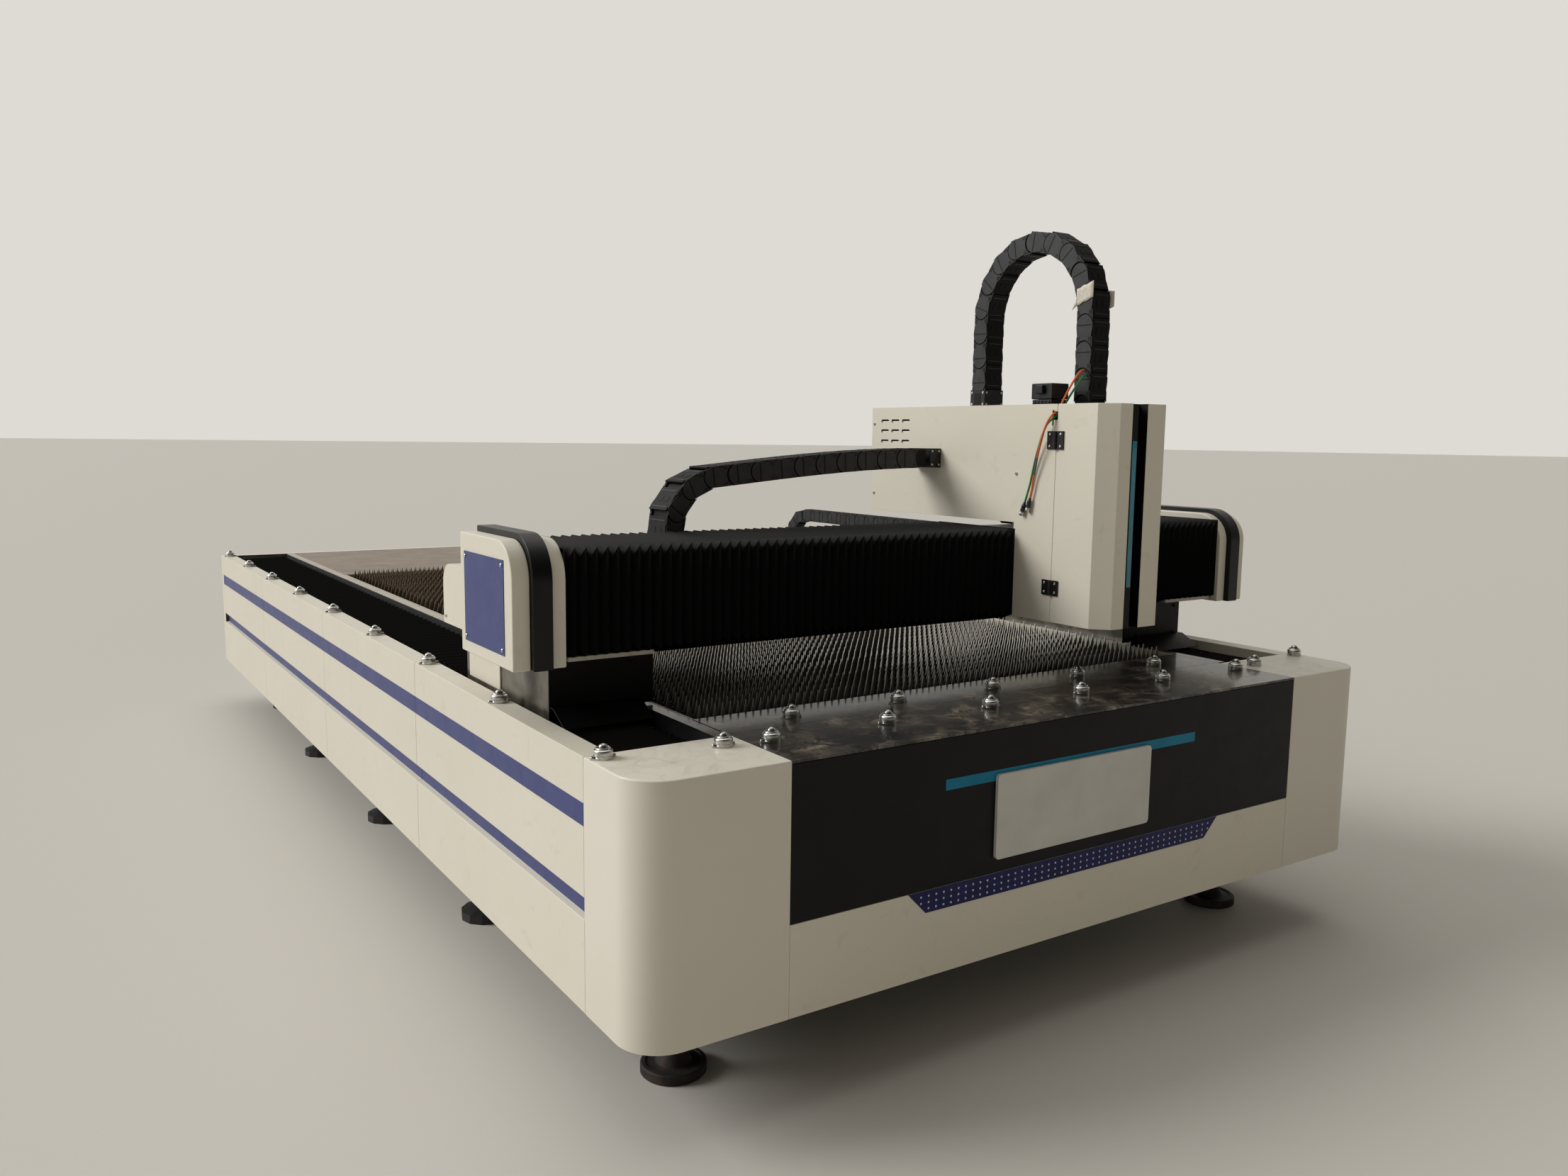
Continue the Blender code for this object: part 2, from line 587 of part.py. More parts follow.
def carriage_group(carriage, paint, black, steel, frame_paint):
    """Carriage plate with its bearing blocks, shelf and X motor, and the hood over them."""
    plate = node("carriage_plate",
                 box(bmesh.new(), (HOOD_LEFT + SHEET + GAP, 0.4647, 0.156), (HOOD_RIGHT - SHEET - GAP, 0.4847, 0.700)),
                 frame_paint, carriage)
    blocks = bmesh.new()
    for low, high in ((0.1585, 0.165 - GAP), (0.185 + GAP, 0.1915), (0.3285, 0.335 - GAP), (0.355 + GAP, 0.3615)):
        for x in (1.385, 1.530):
            box(blocks, (x, 0.480, low), (x + 0.060, 0.500, high))
    shelf = box(bmesh.new(), (HOOD_LEFT + SHEET + GAP, 0.480, 0.410), (HOOD_RIGHT - SHEET - GAP, 1.100, 0.422))
    z_rails = bmesh.new()
    for x in (1.462, 1.522):
        box(z_rails, (x, 0.4497, 0.180), (x + 0.012, 0.468, 0.560))
    motor_shelf = box(bmesh.new(), (1.385, 0.350, 0.585), (1.4545, 0.470, 0.600))
    x_motor = box(bmesh.new(), (1.546, 0.372, 0.205), (1.598, 0.470, 0.258))
    combine(plate, "UNION", *[node(f"guide_{name}", shape, frame_paint, carriage) for name, shape in (
        ("x_blocks", blocks), ("shelf", shelf), ("z_rails", z_rails), ("motor_shelf", motor_shelf),
        ("x_motor", x_motor))])

    outline = [(SEAM_Y + 0.0015, HOOD_BOTTOM), (SEAM_Y + 0.0015, HOOD_TOP), (1.112, HOOD_TOP), (1.112, 0.405),
               (0.476, 0.405), (0.476, HOOD_BOTTOM)]
    hood = open_shell("hood", prism(bmesh.new(), outline, "X", HOOD_LEFT, HOOD_RIGHT),
                      lambda n, c: n.z < -0.9 or n.y < -0.9 or (n.y > 0.9 and c.y < 0.6), paint, carriage)
    mouth = node("guide_chain_mouth", box(bmesh.new(), (1.384, 0.300, 0.700), (1.566, 0.455, 0.740)), paint, carriage)
    lead_slot = node("guide_lead_slot", box(bmesh.new(), (1.360, 0.320, 0.664), (1.380, 0.350, 0.704)), paint, carriage)
    combine(hood, "DIFFERENCE", mouth, lead_slot, vent_slots(paint, carriage))

    motor = bmesh.new()
    box(motor, (1.386, 0.370, 0.6003), (1.450, 0.446, 0.775))
    node("z_motor", motor, black, carriage)
    for name, low, high in (("upper", 0.603, 0.650), ("lower", 0.222, 0.262)):
        hinge = node(f"door_hinge_{name}", box(bmesh.new(), (1.3657, SEAM_Y + 0.003, low), (1.3697, 0.361, high)),
                     black, carriage)
        knuckle = node(f"guide_knuckle_{name}",
                       rod(bmesh.new(), (HINGE_X, SEAM_Y), 0.0045, low, high, sides=10), black, carriage)
        combine(hinge, "UNION", knuckle)


HINGE_X = 1.3645
VENT_ROWS = (0.679, 0.649, 0.618)
VENT_COLUMNS = (1.048, 0.998, 0.948)


def vent_slots(material, parent):
    """Cutter for the nine round-ended cooling slots in the hood's left wall."""
    shape = bmesh.new()
    half, radius = 0.014, 0.005
    for z in VENT_ROWS:
        for y in VENT_COLUMNS:
            ends = []
            for way in (1, -1):
                for turn in (-90, -30, 30, 90):
                    angle = math.radians(turn)
                    ends.append((y + way * (half + radius * math.cos(angle)), z + way * radius * math.sin(angle)))
            prism(shape, ends, "X", HOOD_LEFT - 0.005, HOOD_LEFT + 0.010)
    return node("guide_vents", shape, material, parent)


def door_group(door, paint, black):
    """Front door of the hood: chamfered corners and a deep black channel in its front face."""
    back = SEAM_Y - 0.0018
    front = 0.155
    plan = [(HOOD_LEFT, back), (HOOD_LEFT, 0.197), (1.410, front + 0.002), (CHANNEL_LEFT, front),
            (CHANNEL_LEFT, CHANNEL_FLOOR), (CHANNEL_RIGHT, CHANNEL_FLOOR), (CHANNEL_RIGHT, front),
            (1.575, front), (HOOD_RIGHT, front + 0.030), (HOOD_RIGHT, back)]
    shell = open_shell("hood_door", prism(bmesh.new(), plan, "Z", HOOD_BOTTOM, HOOD_TOP),
                       lambda n, c: n.z < -0.9 or (n.y > 0.9 and c.y > 0.3), paint, door)
    leaves = bmesh.new()
    for low, high in ((0.603, 0.650), (0.222, 0.262)):
        box(leaves, (1.3657, 0.305, low), (1.3715, SEAM_Y - 0.0055, high))
    combine(shell, "UNION", node("guide_door_leaves", leaves, paint, door))
    liner = [(CHANNEL_LEFT + GAP, front + 0.001), (CHANNEL_LEFT + GAP, CHANNEL_FLOOR - GAP),
             (CHANNEL_RIGHT - GAP, CHANNEL_FLOOR - GAP), (CHANNEL_RIGHT - GAP, front + 0.001)]
    node("door_channel", prism(bmesh.new(), folded(liner, 0.002), "Z", HOOD_BOTTOM, HOOD_TOP), black, door)


CHANNEL_LEFT, CHANNEL_RIGHT, CHANNEL_FLOOR = 1.452, 1.508, 0.185


def head_group(head, screw_axis, steel, black):
    """Z slide with the cutting head and its nozzle, and the ball screw beside it."""
    slide = node("head_slide", box(bmesh.new(), (1.456, 0.4250, 0.230), (1.540, 0.4494, 0.560)), steel, head)
    nut = node("guide_nut", box(bmesh.new(), (1.400, 0.3850, 0.380), (1.460, 0.4470, 0.420)), steel, head)
    bore = node("guide_nut_bore", rod(bmesh.new(), SCREW_AXIS, 0.0085, 0.30, 0.50), steel, head)
    arm = node("guide_chain_arm", box(bmesh.new(), (1.490, 0.3325, 0.6520), (1.548, 0.4480, 0.6595)), steel, head)
    post = node("guide_chain_post", box(bmesh.new(), (1.490, 0.4300, 0.550), (1.540, 0.4480, 0.6560)), steel, head)
    combine(slide, "UNION", nut, arm, post)
    combine(slide, "DIFFERENCE", bore)

    x, y = 1.500, 0.375
    profile = ((0.0030, 0.165), (0.0100, 0.178), (0.0140, 0.200), (0.0260, 0.204), (0.0260, 0.250), (0.0200, 0.262))
    turns = [2 * math.pi * i / 20 for i in range(20)]
    rings = [[(x + r * math.cos(t), y + r * math.sin(t), z) for t in turns] for r, z in profile]
    nozzle = node("guide_nozzle", loft(bmesh.new(), rings), black, head)
    body = box(bmesh.new(), (1.462, 0.336, 0.256), (1.538, 0.4247, 0.470))
    laser_head = node("laser_head", body, black, head)
    collar = node("guide_collar", rod(bmesh.new(), (x, y), 0.024, 0.465, 0.600, sides=20), black, head)
    combine(laser_head, "UNION", nozzle, collar)

    screw = rod(bmesh.new(), SCREW_AXIS, 0.008, 0.200, 0.5847, sides=14)
    node("z_ball_screw", screw, steel, screw_axis, smooth=True)


SCREW_AXIS = (1.418, 0.405)


def lead(name, route, radius, material, parent):
    """A free lead along a smooth curve through its route points."""
    guide = bpy.data.curves.new(f"{name} route", "CURVE")
    guide.dimensions = "3D"
    points = smooth_points([Vector(p) for p in route], spacing=radius * 7)
    spline = guide.splines.new("POLY")
    spline.points.add(len(points) - 1)
    for slot, point in zip(spline.points, points):
        slot.co = (*point, 1.0)
    guide.bevel_depth = radius
    guide.bevel_resolution = 2
    guide.use_fill_caps = True
    piece = bpy.data.objects.new(name, guide)
    bpy.context.collection.objects.link(piece)
    guide.materials.append(material)
    piece.parent = parent
    piece.location = CORNER[LEFT] - world_place(parent)
    return piece


def smooth_points(route, spacing):
    """Even points on a curve that passes smoothly through the route's points."""
    ends = [2 * route[0] - route[1]] + route + [2 * route[-1] - route[-2]]
    fine = [route[0]]
    for a, b, c, d in zip(ends, ends[1:], ends[2:], ends[3:]):
        for i in range(1, 21):
            t = i / 20
            fine.append(0.5 * (2 * b + (c - a) * t + (2 * a - 5 * b + 4 * c - d) * t * t
                               + (3 * b - a - 3 * c + d) * t ** 3))
    chosen = [fine[0]]
    for point in fine:
        if (point - chosen[-1]).length >= spacing:
            chosen.append(point)
    chosen[-1] = fine[-1]
    return chosen


LEAD_RADIUS = 0.0028
GREEN_ROUTE = [(1.4835, 0.343, 0.797), (1.4700, 0.343, 0.794), (1.4480, 0.343, 0.770), (1.4200, 0.343, 0.736),
               (1.3960, 0.342, 0.706), (1.3800, 0.341, 0.692), (1.3660, 0.342, 0.684), (1.3550, 0.352, 0.668),
               (1.3545, 0.365, 0.645), (1.3570, 0.379, 0.615), (1.3600, 0.393, 0.580), (1.3620, 0.404, 0.545),
               (1.3625, 0.413, 0.510), (1.3622, 0.422, 0.482), (1.3622, 0.429, 0.462)]
ORANGE_ROUTE = [(1.4835, 0.351, 0.810), (1.4700, 0.351, 0.807), (1.4440, 0.350, 0.782), (1.4150, 0.347, 0.746),
                (1.3920, 0.344, 0.714), (1.3790, 0.3405, 0.6995), (1.3650, 0.3405, 0.694), (1.3520, 0.344, 0.680),
                (1.3470, 0.353, 0.655), (1.3490, 0.365, 0.625), (1.3530, 0.379, 0.590), (1.3570, 0.390, 0.555),
                (1.3600, 0.399, 0.525), (1.3618, 0.405, 0.495), (1.3618, 0.410, 0.474)]


def leads(carriage, green, orange, black):
    """Two sensor leads that hang out of the hood's seam, each ending in a round connector."""
    for name, route, material in (("lead_green", GREEN_ROUTE, green), ("lead_orange", ORANGE_ROUTE, orange)):
        lead(name, route, LEAD_RADIUS, material, carriage)
        end, before = Vector(route[-1]), Vector(route[-2])
        way = (end - before).normalized()
        profile = ((0.0034, GAP), (0.0056, 0.008), (0.0060, 0.026), (0.0064, 0.027), (0.0064, 0.038))
        across = way.cross(Vector((1, 0, 0))).normalized()
        up = across.cross(way)
        rings = []
        for radius, far in profile:
            centre = end + way * far
            rings.append([centre + (across * math.cos(t) + up * math.sin(t)) * radius
                          for t in [2 * math.pi * i / 12 for i in range(12)]])
        node(name.replace("lead", "connector"), loft(bmesh.new(), rings), black, carriage)


def chain_tray(paint):
    """Angle tray for the Y chain, bolted to the right side of the bed."""
    path = [(BED_WIDTH + GAP, 0.030), (BED_WIDTH + GAP, -0.0235), (2.3563, -0.0235), (2.3563, -0.005)]
    node("y_chain_tray", prism(bmesh.new(), folded(path[::-1], 0.0025), "Y", 2.560, 4.620), paint)


def chain_arm(gantry, paint):
    """Arm on the right drive cover that holds the moving end of the Y chain."""
    shape = box(bmesh.new(), (BED_WIDTH - 0.024, 1.095, 0.228), (2.3030, 1.150, 0.288))
    arm = node("guide_chain_bracket", shape, paint, gantry)
    combine(bpy.data.objects["y_drive_right"], "UNION", arm)


def build():
    clear_scene()
    paint = finish("warm white powder coat", (0.686, 0.651, 0.565), 0.42)
    frame_paint = finish("dark grey frame paint", (0.035, 0.036, 0.040), 0.55)
    black = finish("satin black paint", (0.010, 0.011, 0.014), 0.38)
    steel = finish("dark cut steel", (0.120, 0.115, 0.110), 0.35, 0.8)
    zinc = finish("zinc plate", (0.560, 0.560, 0.540), 0.25, 1.0)
    iron = finish("black cast iron", (0.020, 0.020, 0.022), 0.60, 0.3)
    fabric = finish("black bellows fabric", (0.008, 0.008, 0.010), 0.60)
    plastic = finish("black chain plastic", (0.030, 0.032, 0.036), 0.45)
    green = finish("green lead jacket", (0.030, 0.230, 0.050), 0.45)
    orange = finish("orange lead jacket", (0.760, 0.150, 0.020), 0.45)

    gantry = empty_at("axis_gantry_travel", (BED_WIDTH / 2, 0.62, 0.0))
    carriage = empty_at("axis_carriage_travel", (1.50, 0.50, 0.26), gantry)
    head = empty_at("axis_head_travel", (1.50, 0.44, 0.40), carriage)
    door = empty_at("axis_door_hinge", (HINGE_X, SEAM_Y, 0.435), carriage)
    screw_axis = empty_at("axis_z_screw", (SCREW_AXIS[0], SCREW_AXIS[1], 0.40), carriage)
    x_pinion_axis = empty_at("axis_x_pinion", (1.572, 0.495, X_RACK_BOTTOM - 0.0336), carriage)

    for side in (LEFT, RIGHT):
        side_covers(side, paint, zinc)
        side_frame(side, frame_paint, iron)
    bed_ends(paint, black, steel, frame_paint, zinc)
    slat_bed(steel)
    chain_tray(paint)

    gantry_beam(gantry, paint, steel)
    for side in (LEFT, RIGHT):
        gantry_end(side, gantry, paint, black, steel)
    chain_arm(gantry, paint)

    carriage_group(carriage, paint, black, steel, frame_paint)
    node("x_pinion", pinion((1.572, X_RACK_BOTTOM - 0.0336), 0.4853, 0.5040, "Y"), steel, x_pinion_axis)
    door_group(door, paint, black)
    head_group(head, screw_axis, steel, black)
    leads(carriage, green, orange, black)

    x_bellows("x_bellows_left", 0.0636, HOOD_LEFT - GAP, 23, fabric, gantry)
    x_bellows("x_bellows_right", HOOD_RIGHT + GAP, BED_WIDTH - 0.0636, 11, fabric, gantry)
    for side in (LEFT, RIGHT):
        where = SIDE_NAME[side]
        y_bellows(f"y_bellows_front_{where}", 0.2400, 0.5894, 8, fabric, side)
        y_bellows(f"y_bellows_rear_{where}", 1.1473, 4.6400, 25, fabric, side)
    chains(gantry, carriage, plastic)


build()
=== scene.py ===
import math
import random

import bmesh
import bpy
from mathutils import Matrix, Vector


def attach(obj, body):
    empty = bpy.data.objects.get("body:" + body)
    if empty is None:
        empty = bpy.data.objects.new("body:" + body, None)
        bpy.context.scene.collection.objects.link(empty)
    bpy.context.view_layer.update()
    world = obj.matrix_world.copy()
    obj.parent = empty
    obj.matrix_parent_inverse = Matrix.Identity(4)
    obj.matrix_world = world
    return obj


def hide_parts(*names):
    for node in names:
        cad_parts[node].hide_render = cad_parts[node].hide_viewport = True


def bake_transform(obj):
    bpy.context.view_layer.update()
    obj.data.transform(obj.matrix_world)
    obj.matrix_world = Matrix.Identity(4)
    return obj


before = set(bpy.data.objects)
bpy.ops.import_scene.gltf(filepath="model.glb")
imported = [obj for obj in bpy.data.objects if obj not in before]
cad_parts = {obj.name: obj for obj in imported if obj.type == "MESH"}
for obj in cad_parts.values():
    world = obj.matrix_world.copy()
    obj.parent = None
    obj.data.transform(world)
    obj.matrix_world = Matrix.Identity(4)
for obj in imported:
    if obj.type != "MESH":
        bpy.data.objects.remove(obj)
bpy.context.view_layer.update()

# Camera. It stands at eye height off the front left corner, looks along the machine and slightly down, and
# leans a fraction of a degree.
camera_data = bpy.data.cameras.new("camera")
camera_data.sensor_width = 36.0
camera_data.lens = 27.28
camera = bpy.data.objects.new("camera", camera_data)
bpy.context.scene.collection.objects.link(camera)
EYE = (-2.0747, -4.2176, 1.3731)
yaw, pitch, roll = math.radians(33.4846), math.radians(7.1854), math.radians(0.7169)
forward = Vector((math.sin(yaw) * math.cos(pitch), math.cos(yaw) * math.cos(pitch), -math.sin(pitch)))
level = Vector((math.cos(yaw), -math.sin(yaw), 0.0))
upright = level.cross(forward)
across = level * math.cos(roll) + upright * math.sin(roll)
upward = upright * math.cos(roll) - level * math.sin(roll)
camera.matrix_world = Matrix.Translation(EYE) @ Matrix((across, upward, -forward)).transposed().to_4x4()
bpy.context.scene.camera = camera
bpy.context.scene.view_settings.view_transform = "Standard"


# Studio floor and light. A plain pale floor runs out to a plain pale backdrop. A broad soft light falls from
# the left and a broader, weaker one from above. What shiny parts mirror is dark in front and pale behind.
def linear(value):
    """An sRGB colour in hex as the linear values that a shader takes. Any other value stays as it is."""
    if not isinstance(value, str):
        return value
    parts = [int(value[i:i + 2], 16) / 255 for i in (1, 3, 5)]
    return [p / 12.92 if p <= 0.04045 else ((p + 0.055) / 1.055) ** 2.4 for p in parts] + [1.0]


def feed(tree, node, fed):
    """Gives each named input of a node its value, or links it to the output that feeds it."""
    for key, value in fed.items():
        if isinstance(value, bpy.types.NodeSocket):
            tree.links.new(value, node.inputs[key])
        else:
            node.inputs[key].default_value = linear(value)


def add(tree, kind, fed=None, stops=(), **settings):
    """Adds one shader node: its settings, what each input holds or is fed by, and a ramp's stops."""
    made = tree.nodes.new("ShaderNode" + kind)
    for name, value in settings.items():
        setattr(made, name, value)
    feed(tree, made, fed or {})
    for i, (place, colour) in enumerate(stops):
        stop = made.color_ramp.elements[i] if i < 2 else made.color_ramp.elements.new(place)
        stop.position = place
        stop.color = linear(colour)
    return made


def finish_for(name):
    """A new material with its shader, and the place on the object that its patterns read."""
    material = bpy.data.materials.new(name)
    material.use_nodes = True
    tree = material.node_tree
    tree.nodes.clear()
    shader = add(tree, "BsdfPrincipled")
    add(tree, "OutputMaterial", {"Surface": shader.outputs[0]})
    return material, tree, shader, add(tree, "TexCoord").outputs["Object"]


world = bpy.data.worlds.new("studio")
world.use_nodes = True
bpy.context.scene.world = world
sky = world.node_tree
sky.nodes.clear()
light_path = add(sky, "LightPath")
seen = add(sky, "Math", {0: light_path.outputs["Is Camera Ray"], 1: light_path.outputs["Is Transmission Ray"]},
           operation="MAXIMUM")
backdrop = add(sky, "Background", {"Color": "#DEDBD5", "Strength": 1.0})
toward = add(sky, "SeparateXYZ", {0: add(sky, "TexCoord").outputs["Generated"]})
from_rear = add(sky, "MapRange", {"Value": toward.outputs["Y"], "From Min": -0.75, "From Max": 0.30})
reflected = add(sky, "Mix", {0: from_rear.outputs[0], 6: "#2E2C29", 7: "#CFCCC5"}, data_type="RGBA")
reflections = add(sky, "Background", {"Color": reflected.outputs[2], "Strength": 1.0})
soft_fill = add(sky, "Background", {"Color": "#F2EBDE", "Strength": 0.27})
unseen = add(sky, "MixShader", {0: light_path.outputs["Is Glossy Ray"], 1: soft_fill.outputs[0],
                                2: reflections.outputs[0]})
all_round = add(sky, "MixShader", {0: seen.outputs[0], 1: unseen.outputs[0], 2: backdrop.outputs[0]})
add(sky, "OutputWorld", {"Surface": all_round.outputs[0]})

floor_paint, tree, shader, place = finish_for("pale_studio_floor")
feed(tree, shader, {"Base Color": "#C9C5BD", "Roughness": 0.7})
floor_mesh = bpy.data.meshes.new("studio_floor")
floor_shape = bmesh.new()
bmesh.ops.create_grid(floor_shape, x_segments=1, y_segments=1, size=200.0)
floor_shape.to_mesh(floor_mesh)
floor_shape.free()
floor_mesh.materials.append(floor_paint)
studio_floor = bpy.data.objects.new("studio_floor", floor_mesh)
bpy.context.scene.collection.objects.link(studio_floor)

for name, toward, spread, strength in [
    ("side", (0.72, -0.48, -0.52), 30.0, 2.25),
    ("overhead", (0.10, -0.30, -1.00), 70.0, 0.80),
]:
    lamp_data = bpy.data.lights.new(name, "SUN")
    lamp_data.angle = math.radians(spread)
    lamp_data.energy = strength
    lamp = bpy.data.objects.new(name, lamp_data)
    bpy.context.scene.collection.objects.link(lamp)
    lamp.rotation_mode = "QUATERNION"
    lamp.rotation_quaternion = Vector(toward).to_track_quat("-Z", "Y")


# Leads. A green and an orange lead come out of the Z chain's front leg, cross the hood's top, pass the door's
# seam and hang down the hood's left face. Each is PVC over a screen, 5.6 mm thick, and ends in a round plug.
MIDDLE_X, MIDDLE_Y, TABLE_HEIGHT = 1.15, 2.35, 0.75
BED_CORNER = Vector((-MIDDLE_X, -MIDDLE_Y, TABLE_HEIGHT))
LEAD_RADIUS = 0.0028
GREEN_ROUTE = [
    (1.4835, 0.343, 0.797), (1.4700, 0.343, 0.794), (1.4480, 0.343, 0.770), (1.4200, 0.343, 0.736),
    (1.3960, 0.342, 0.706), (1.3800, 0.341, 0.692), (1.3660, 0.342, 0.684), (1.3550, 0.352, 0.668),
    (1.3545, 0.365, 0.645), (1.3570, 0.379, 0.615), (1.3600, 0.393, 0.580), (1.3620, 0.404, 0.545),
    (1.3625, 0.413, 0.510), (1.3622, 0.422, 0.482), (1.3622, 0.429, 0.462),
]
ORANGE_ROUTE = [
    (1.4835, 0.351, 0.810), (1.4700, 0.351, 0.807), (1.4440, 0.350, 0.782), (1.4150, 0.347, 0.746),
    (1.3920, 0.344, 0.714), (1.3790, 0.3405, 0.6995), (1.3650, 0.3405, 0.694), (1.3520, 0.344, 0.680),
    (1.3470, 0.353, 0.655), (1.3490, 0.365, 0.625), (1.3530, 0.379, 0.590), (1.3570, 0.390, 0.555),
    (1.3600, 0.399, 0.525), (1.3618, 0.405, 0.495), (1.3618, 0.410, 0.474),
]


def piece(name, shape, finishes, body=None, stands_for=(), inside=None, **how):
    """A finished mesh, drawn from the bed's front left corner, put in its place and on its body.

    inside is a point behind an open sheet. The sheet faces away from it, and its wall is on that side."""
    if inside is None:
        bmesh.ops.recalc_face_normals(shape, faces=shape.faces[:])
    else:
        shape.normal_update()
        outward = sum(f.calc_area() * f.normal.dot(f.calc_center_median() - Vector(inside))
                      for f in shape.faces)
        if outward < 0:
            bmesh.ops.reverse_faces(shape, faces=shape.faces[:])
    mesh = bpy.data.meshes.new(name)
    shape.to_mesh(mesh)
    shape.free()
    mesh.transform(Matrix.Translation(BED_CORNER))
    return set_up(name, mesh, finishes, body, stands_for, **how)


def set_up(name, mesh, finishes, body=None, stands_for=(), wall=0.0, edge=0.0, sharp=35.0, slot=None):
    """A mesh as a piece of the machine, with a sheet's wall and rounded edges where it has them."""
    for finish in finishes[len(mesh.materials):]:
        mesh.materials.append(finish)
    mesh.shade_smooth()
    mesh.set_sharp_from_angle(angle=math.radians(sharp))
    made = bpy.data.objects.new(name, mesh)
    bpy.context.scene.collection.objects.link(made)
    if wall:
        thickness = made.modifiers.new("wall", "SOLIDIFY")
        thickness.thickness = wall
        thickness.offset = -1.0
        thickness.use_even_offset = True
    if edge:
        rounding = made.modifiers.new("rounded_edges", "BEVEL")
        rounding.width = edge
        rounding.segments = 2
        rounding.limit_method = "ANGLE"
        rounding.angle_limit = math.radians(40)
        rounding.harden_normals = True
    if body:
        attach(made, body)
    if stands_for:
        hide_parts(*stands_for)
    return made


def turned(shape, profile, centre, axis=(0, 0, 1), steps=24, finish=0):
    """A line of (radius, height) points turned about an axis through centre."""
    tilt = Vector((0, 0, 1)).rotation_difference(Vector(axis)).to_matrix().to_4x4()
    stand = Matrix.Translation(centre) @ tilt
    line = [shape.verts.new(stand @ Vector((radius, 0, height))) for radius, height in profile]
    lengths = [shape.edges.new(pair) for pair in zip(line, line[1:])]
    had = len(shape.faces)
    bmesh.ops.spin(shape, geom=line + lengths, cent=centre, axis=axis, angle=math.tau, steps=steps,
                   use_merge=True)
    shape.faces.ensure_lookup_table()
    new_faces = shape.faces[had:]
    for face in new_faces:
        face.material_index = finish
    points = list({v for face in new_faces for v in face.verts})
    bmesh.ops.remove_doubles(shape, verts=points, dist=1e-6)


def smooth_route(route, spacing):
    """Points about a spacing apart on a smooth curve through the route's points, in the machine's frame."""
    points = [Vector(p) for p in route]
    ends = [points[0] * 2 - points[1]] + points + [points[-1] * 2 - points[-2]]
    fine = []
    for p0, p1, p2, p3 in zip(ends, ends[1:], ends[2:], ends[3:]):
        for i in range(20):
            t = i / 20
            fine.append(0.5 * ((2 * p1) + (p2 - p0) * t + (2 * p0 - 5 * p1 + 4 * p2 - p3) * t * t
                               + (3 * p1 - p0 - 3 * p2 + p3) * t ** 3))
    fine.append(points[-1])
    chosen = [fine[0]]
    for point in fine:
        if (point - chosen[-1]).length >= spacing:
            chosen.append(point)
    if (chosen[-1] - fine[-1]).length < spacing / 2:
        chosen.pop()
    return [p + BED_CORNER for p in chosen + [fine[-1]]]


def lead_jacket(name, colours, sleeve_low, sleeve_high):
    """Extruded PVC has a satin, evenly coloured skin. Between two heights it wears a grey shrink sleeve."""
    material, tree, shader, place = finish_for(name)
    height = add(tree, "SeparateXYZ", {0: place}).outputs["Z"]
    above = add(tree, "Math", {0: height, 1: sleeve_low}, operation="GREATER_THAN")
    below = add(tree, "Math", {0: height, 1: sleeve_high}, operation="LESS_THAN")
    sleeve = add(tree, "Math", {0: above.outputs[0], 1: below.outputs[0]}, operation="MULTIPLY")
    rub = add(tree, "TexNoise", {"Vector": place, "Scale": 260.0, "Detail": 3.0})
    jacket = add(tree, "Mix", {0: rub.outputs["Fac"], 6: colours[0], 7: colours[1]}, data_type="RGBA")
    colour = add(tree, "Mix", {0: sleeve.outputs[0], 6: jacket.outputs[2], 7: "#5B5A58"}, data_type="RGBA")
    bump = add(tree, "Bump", {"Height": rub.outputs["Fac"], "Strength": 0.12, "Distance": 0.0002})
    feed(tree, shader, {"Base Color": colour.outputs[2], "Roughness": 0.42, "Normal": bump.outputs[0]})
    return material


def mottled(name, cloud, stops, surface, grain=None, relief=None):
    """A finish whose colour drifts between the stops as a cloud of noise does, with the shader's constants.

    A cloud's Scale is the number of its patches on a metre, so 100 is one on each 10 mm. relief is how strong
    and how deep the grain shows as a bump, where there is one, and a grain of None is the cloud itself."""
    material, tree, shader, place = finish_for(name)
    drift = add(tree, "TexNoise", {"Vector": place, **cloud}).outputs["Fac"]
    tone = add(tree, "ValToRGB", {0: drift}, stops)
    feed(tree, shader, {"Base Color": tone.outputs[0], **surface})
    if relief:
        height = add(tree, "TexNoise", {"Vector": place, **grain}).outputs["Fac"] if grain else drift
        bump = add(tree, "Bump", {"Height": height, "Strength": relief[0], "Distance": relief[1]})
        feed(tree, shader, {"Normal": bump.outputs[0]})
    return material


# The plug's moulded plastic is black and finely grained, so its shine is soft.
plug_body, tree, shader, place = finish_for("moulded_black_plug")
grain = add(tree, "TexNoise", {"Vector": place, "Scale": 900.0, "Detail": 2.0})
bump = add(tree, "Bump", {"Height": grain.outputs["Fac"], "Strength": 0.15, "Distance": 0.0002})
feed(tree, shader, {"Base Color": "#1A1A1B", "Roughness": 0.45, "Normal": bump.outputs[0]})
# Nickel plate on the coupling ring mirrors in a faintly warm grey, with fine marks of the lathe.
nickel = mottled("nickel_plated_brass", {"Scale": 700.0, "Detail": 2.0}, [(0.3, "#A9A8A2"), (0.7, "#CFCDC6")],
                 {"Metallic": 1.0, "Roughness": 0.28})

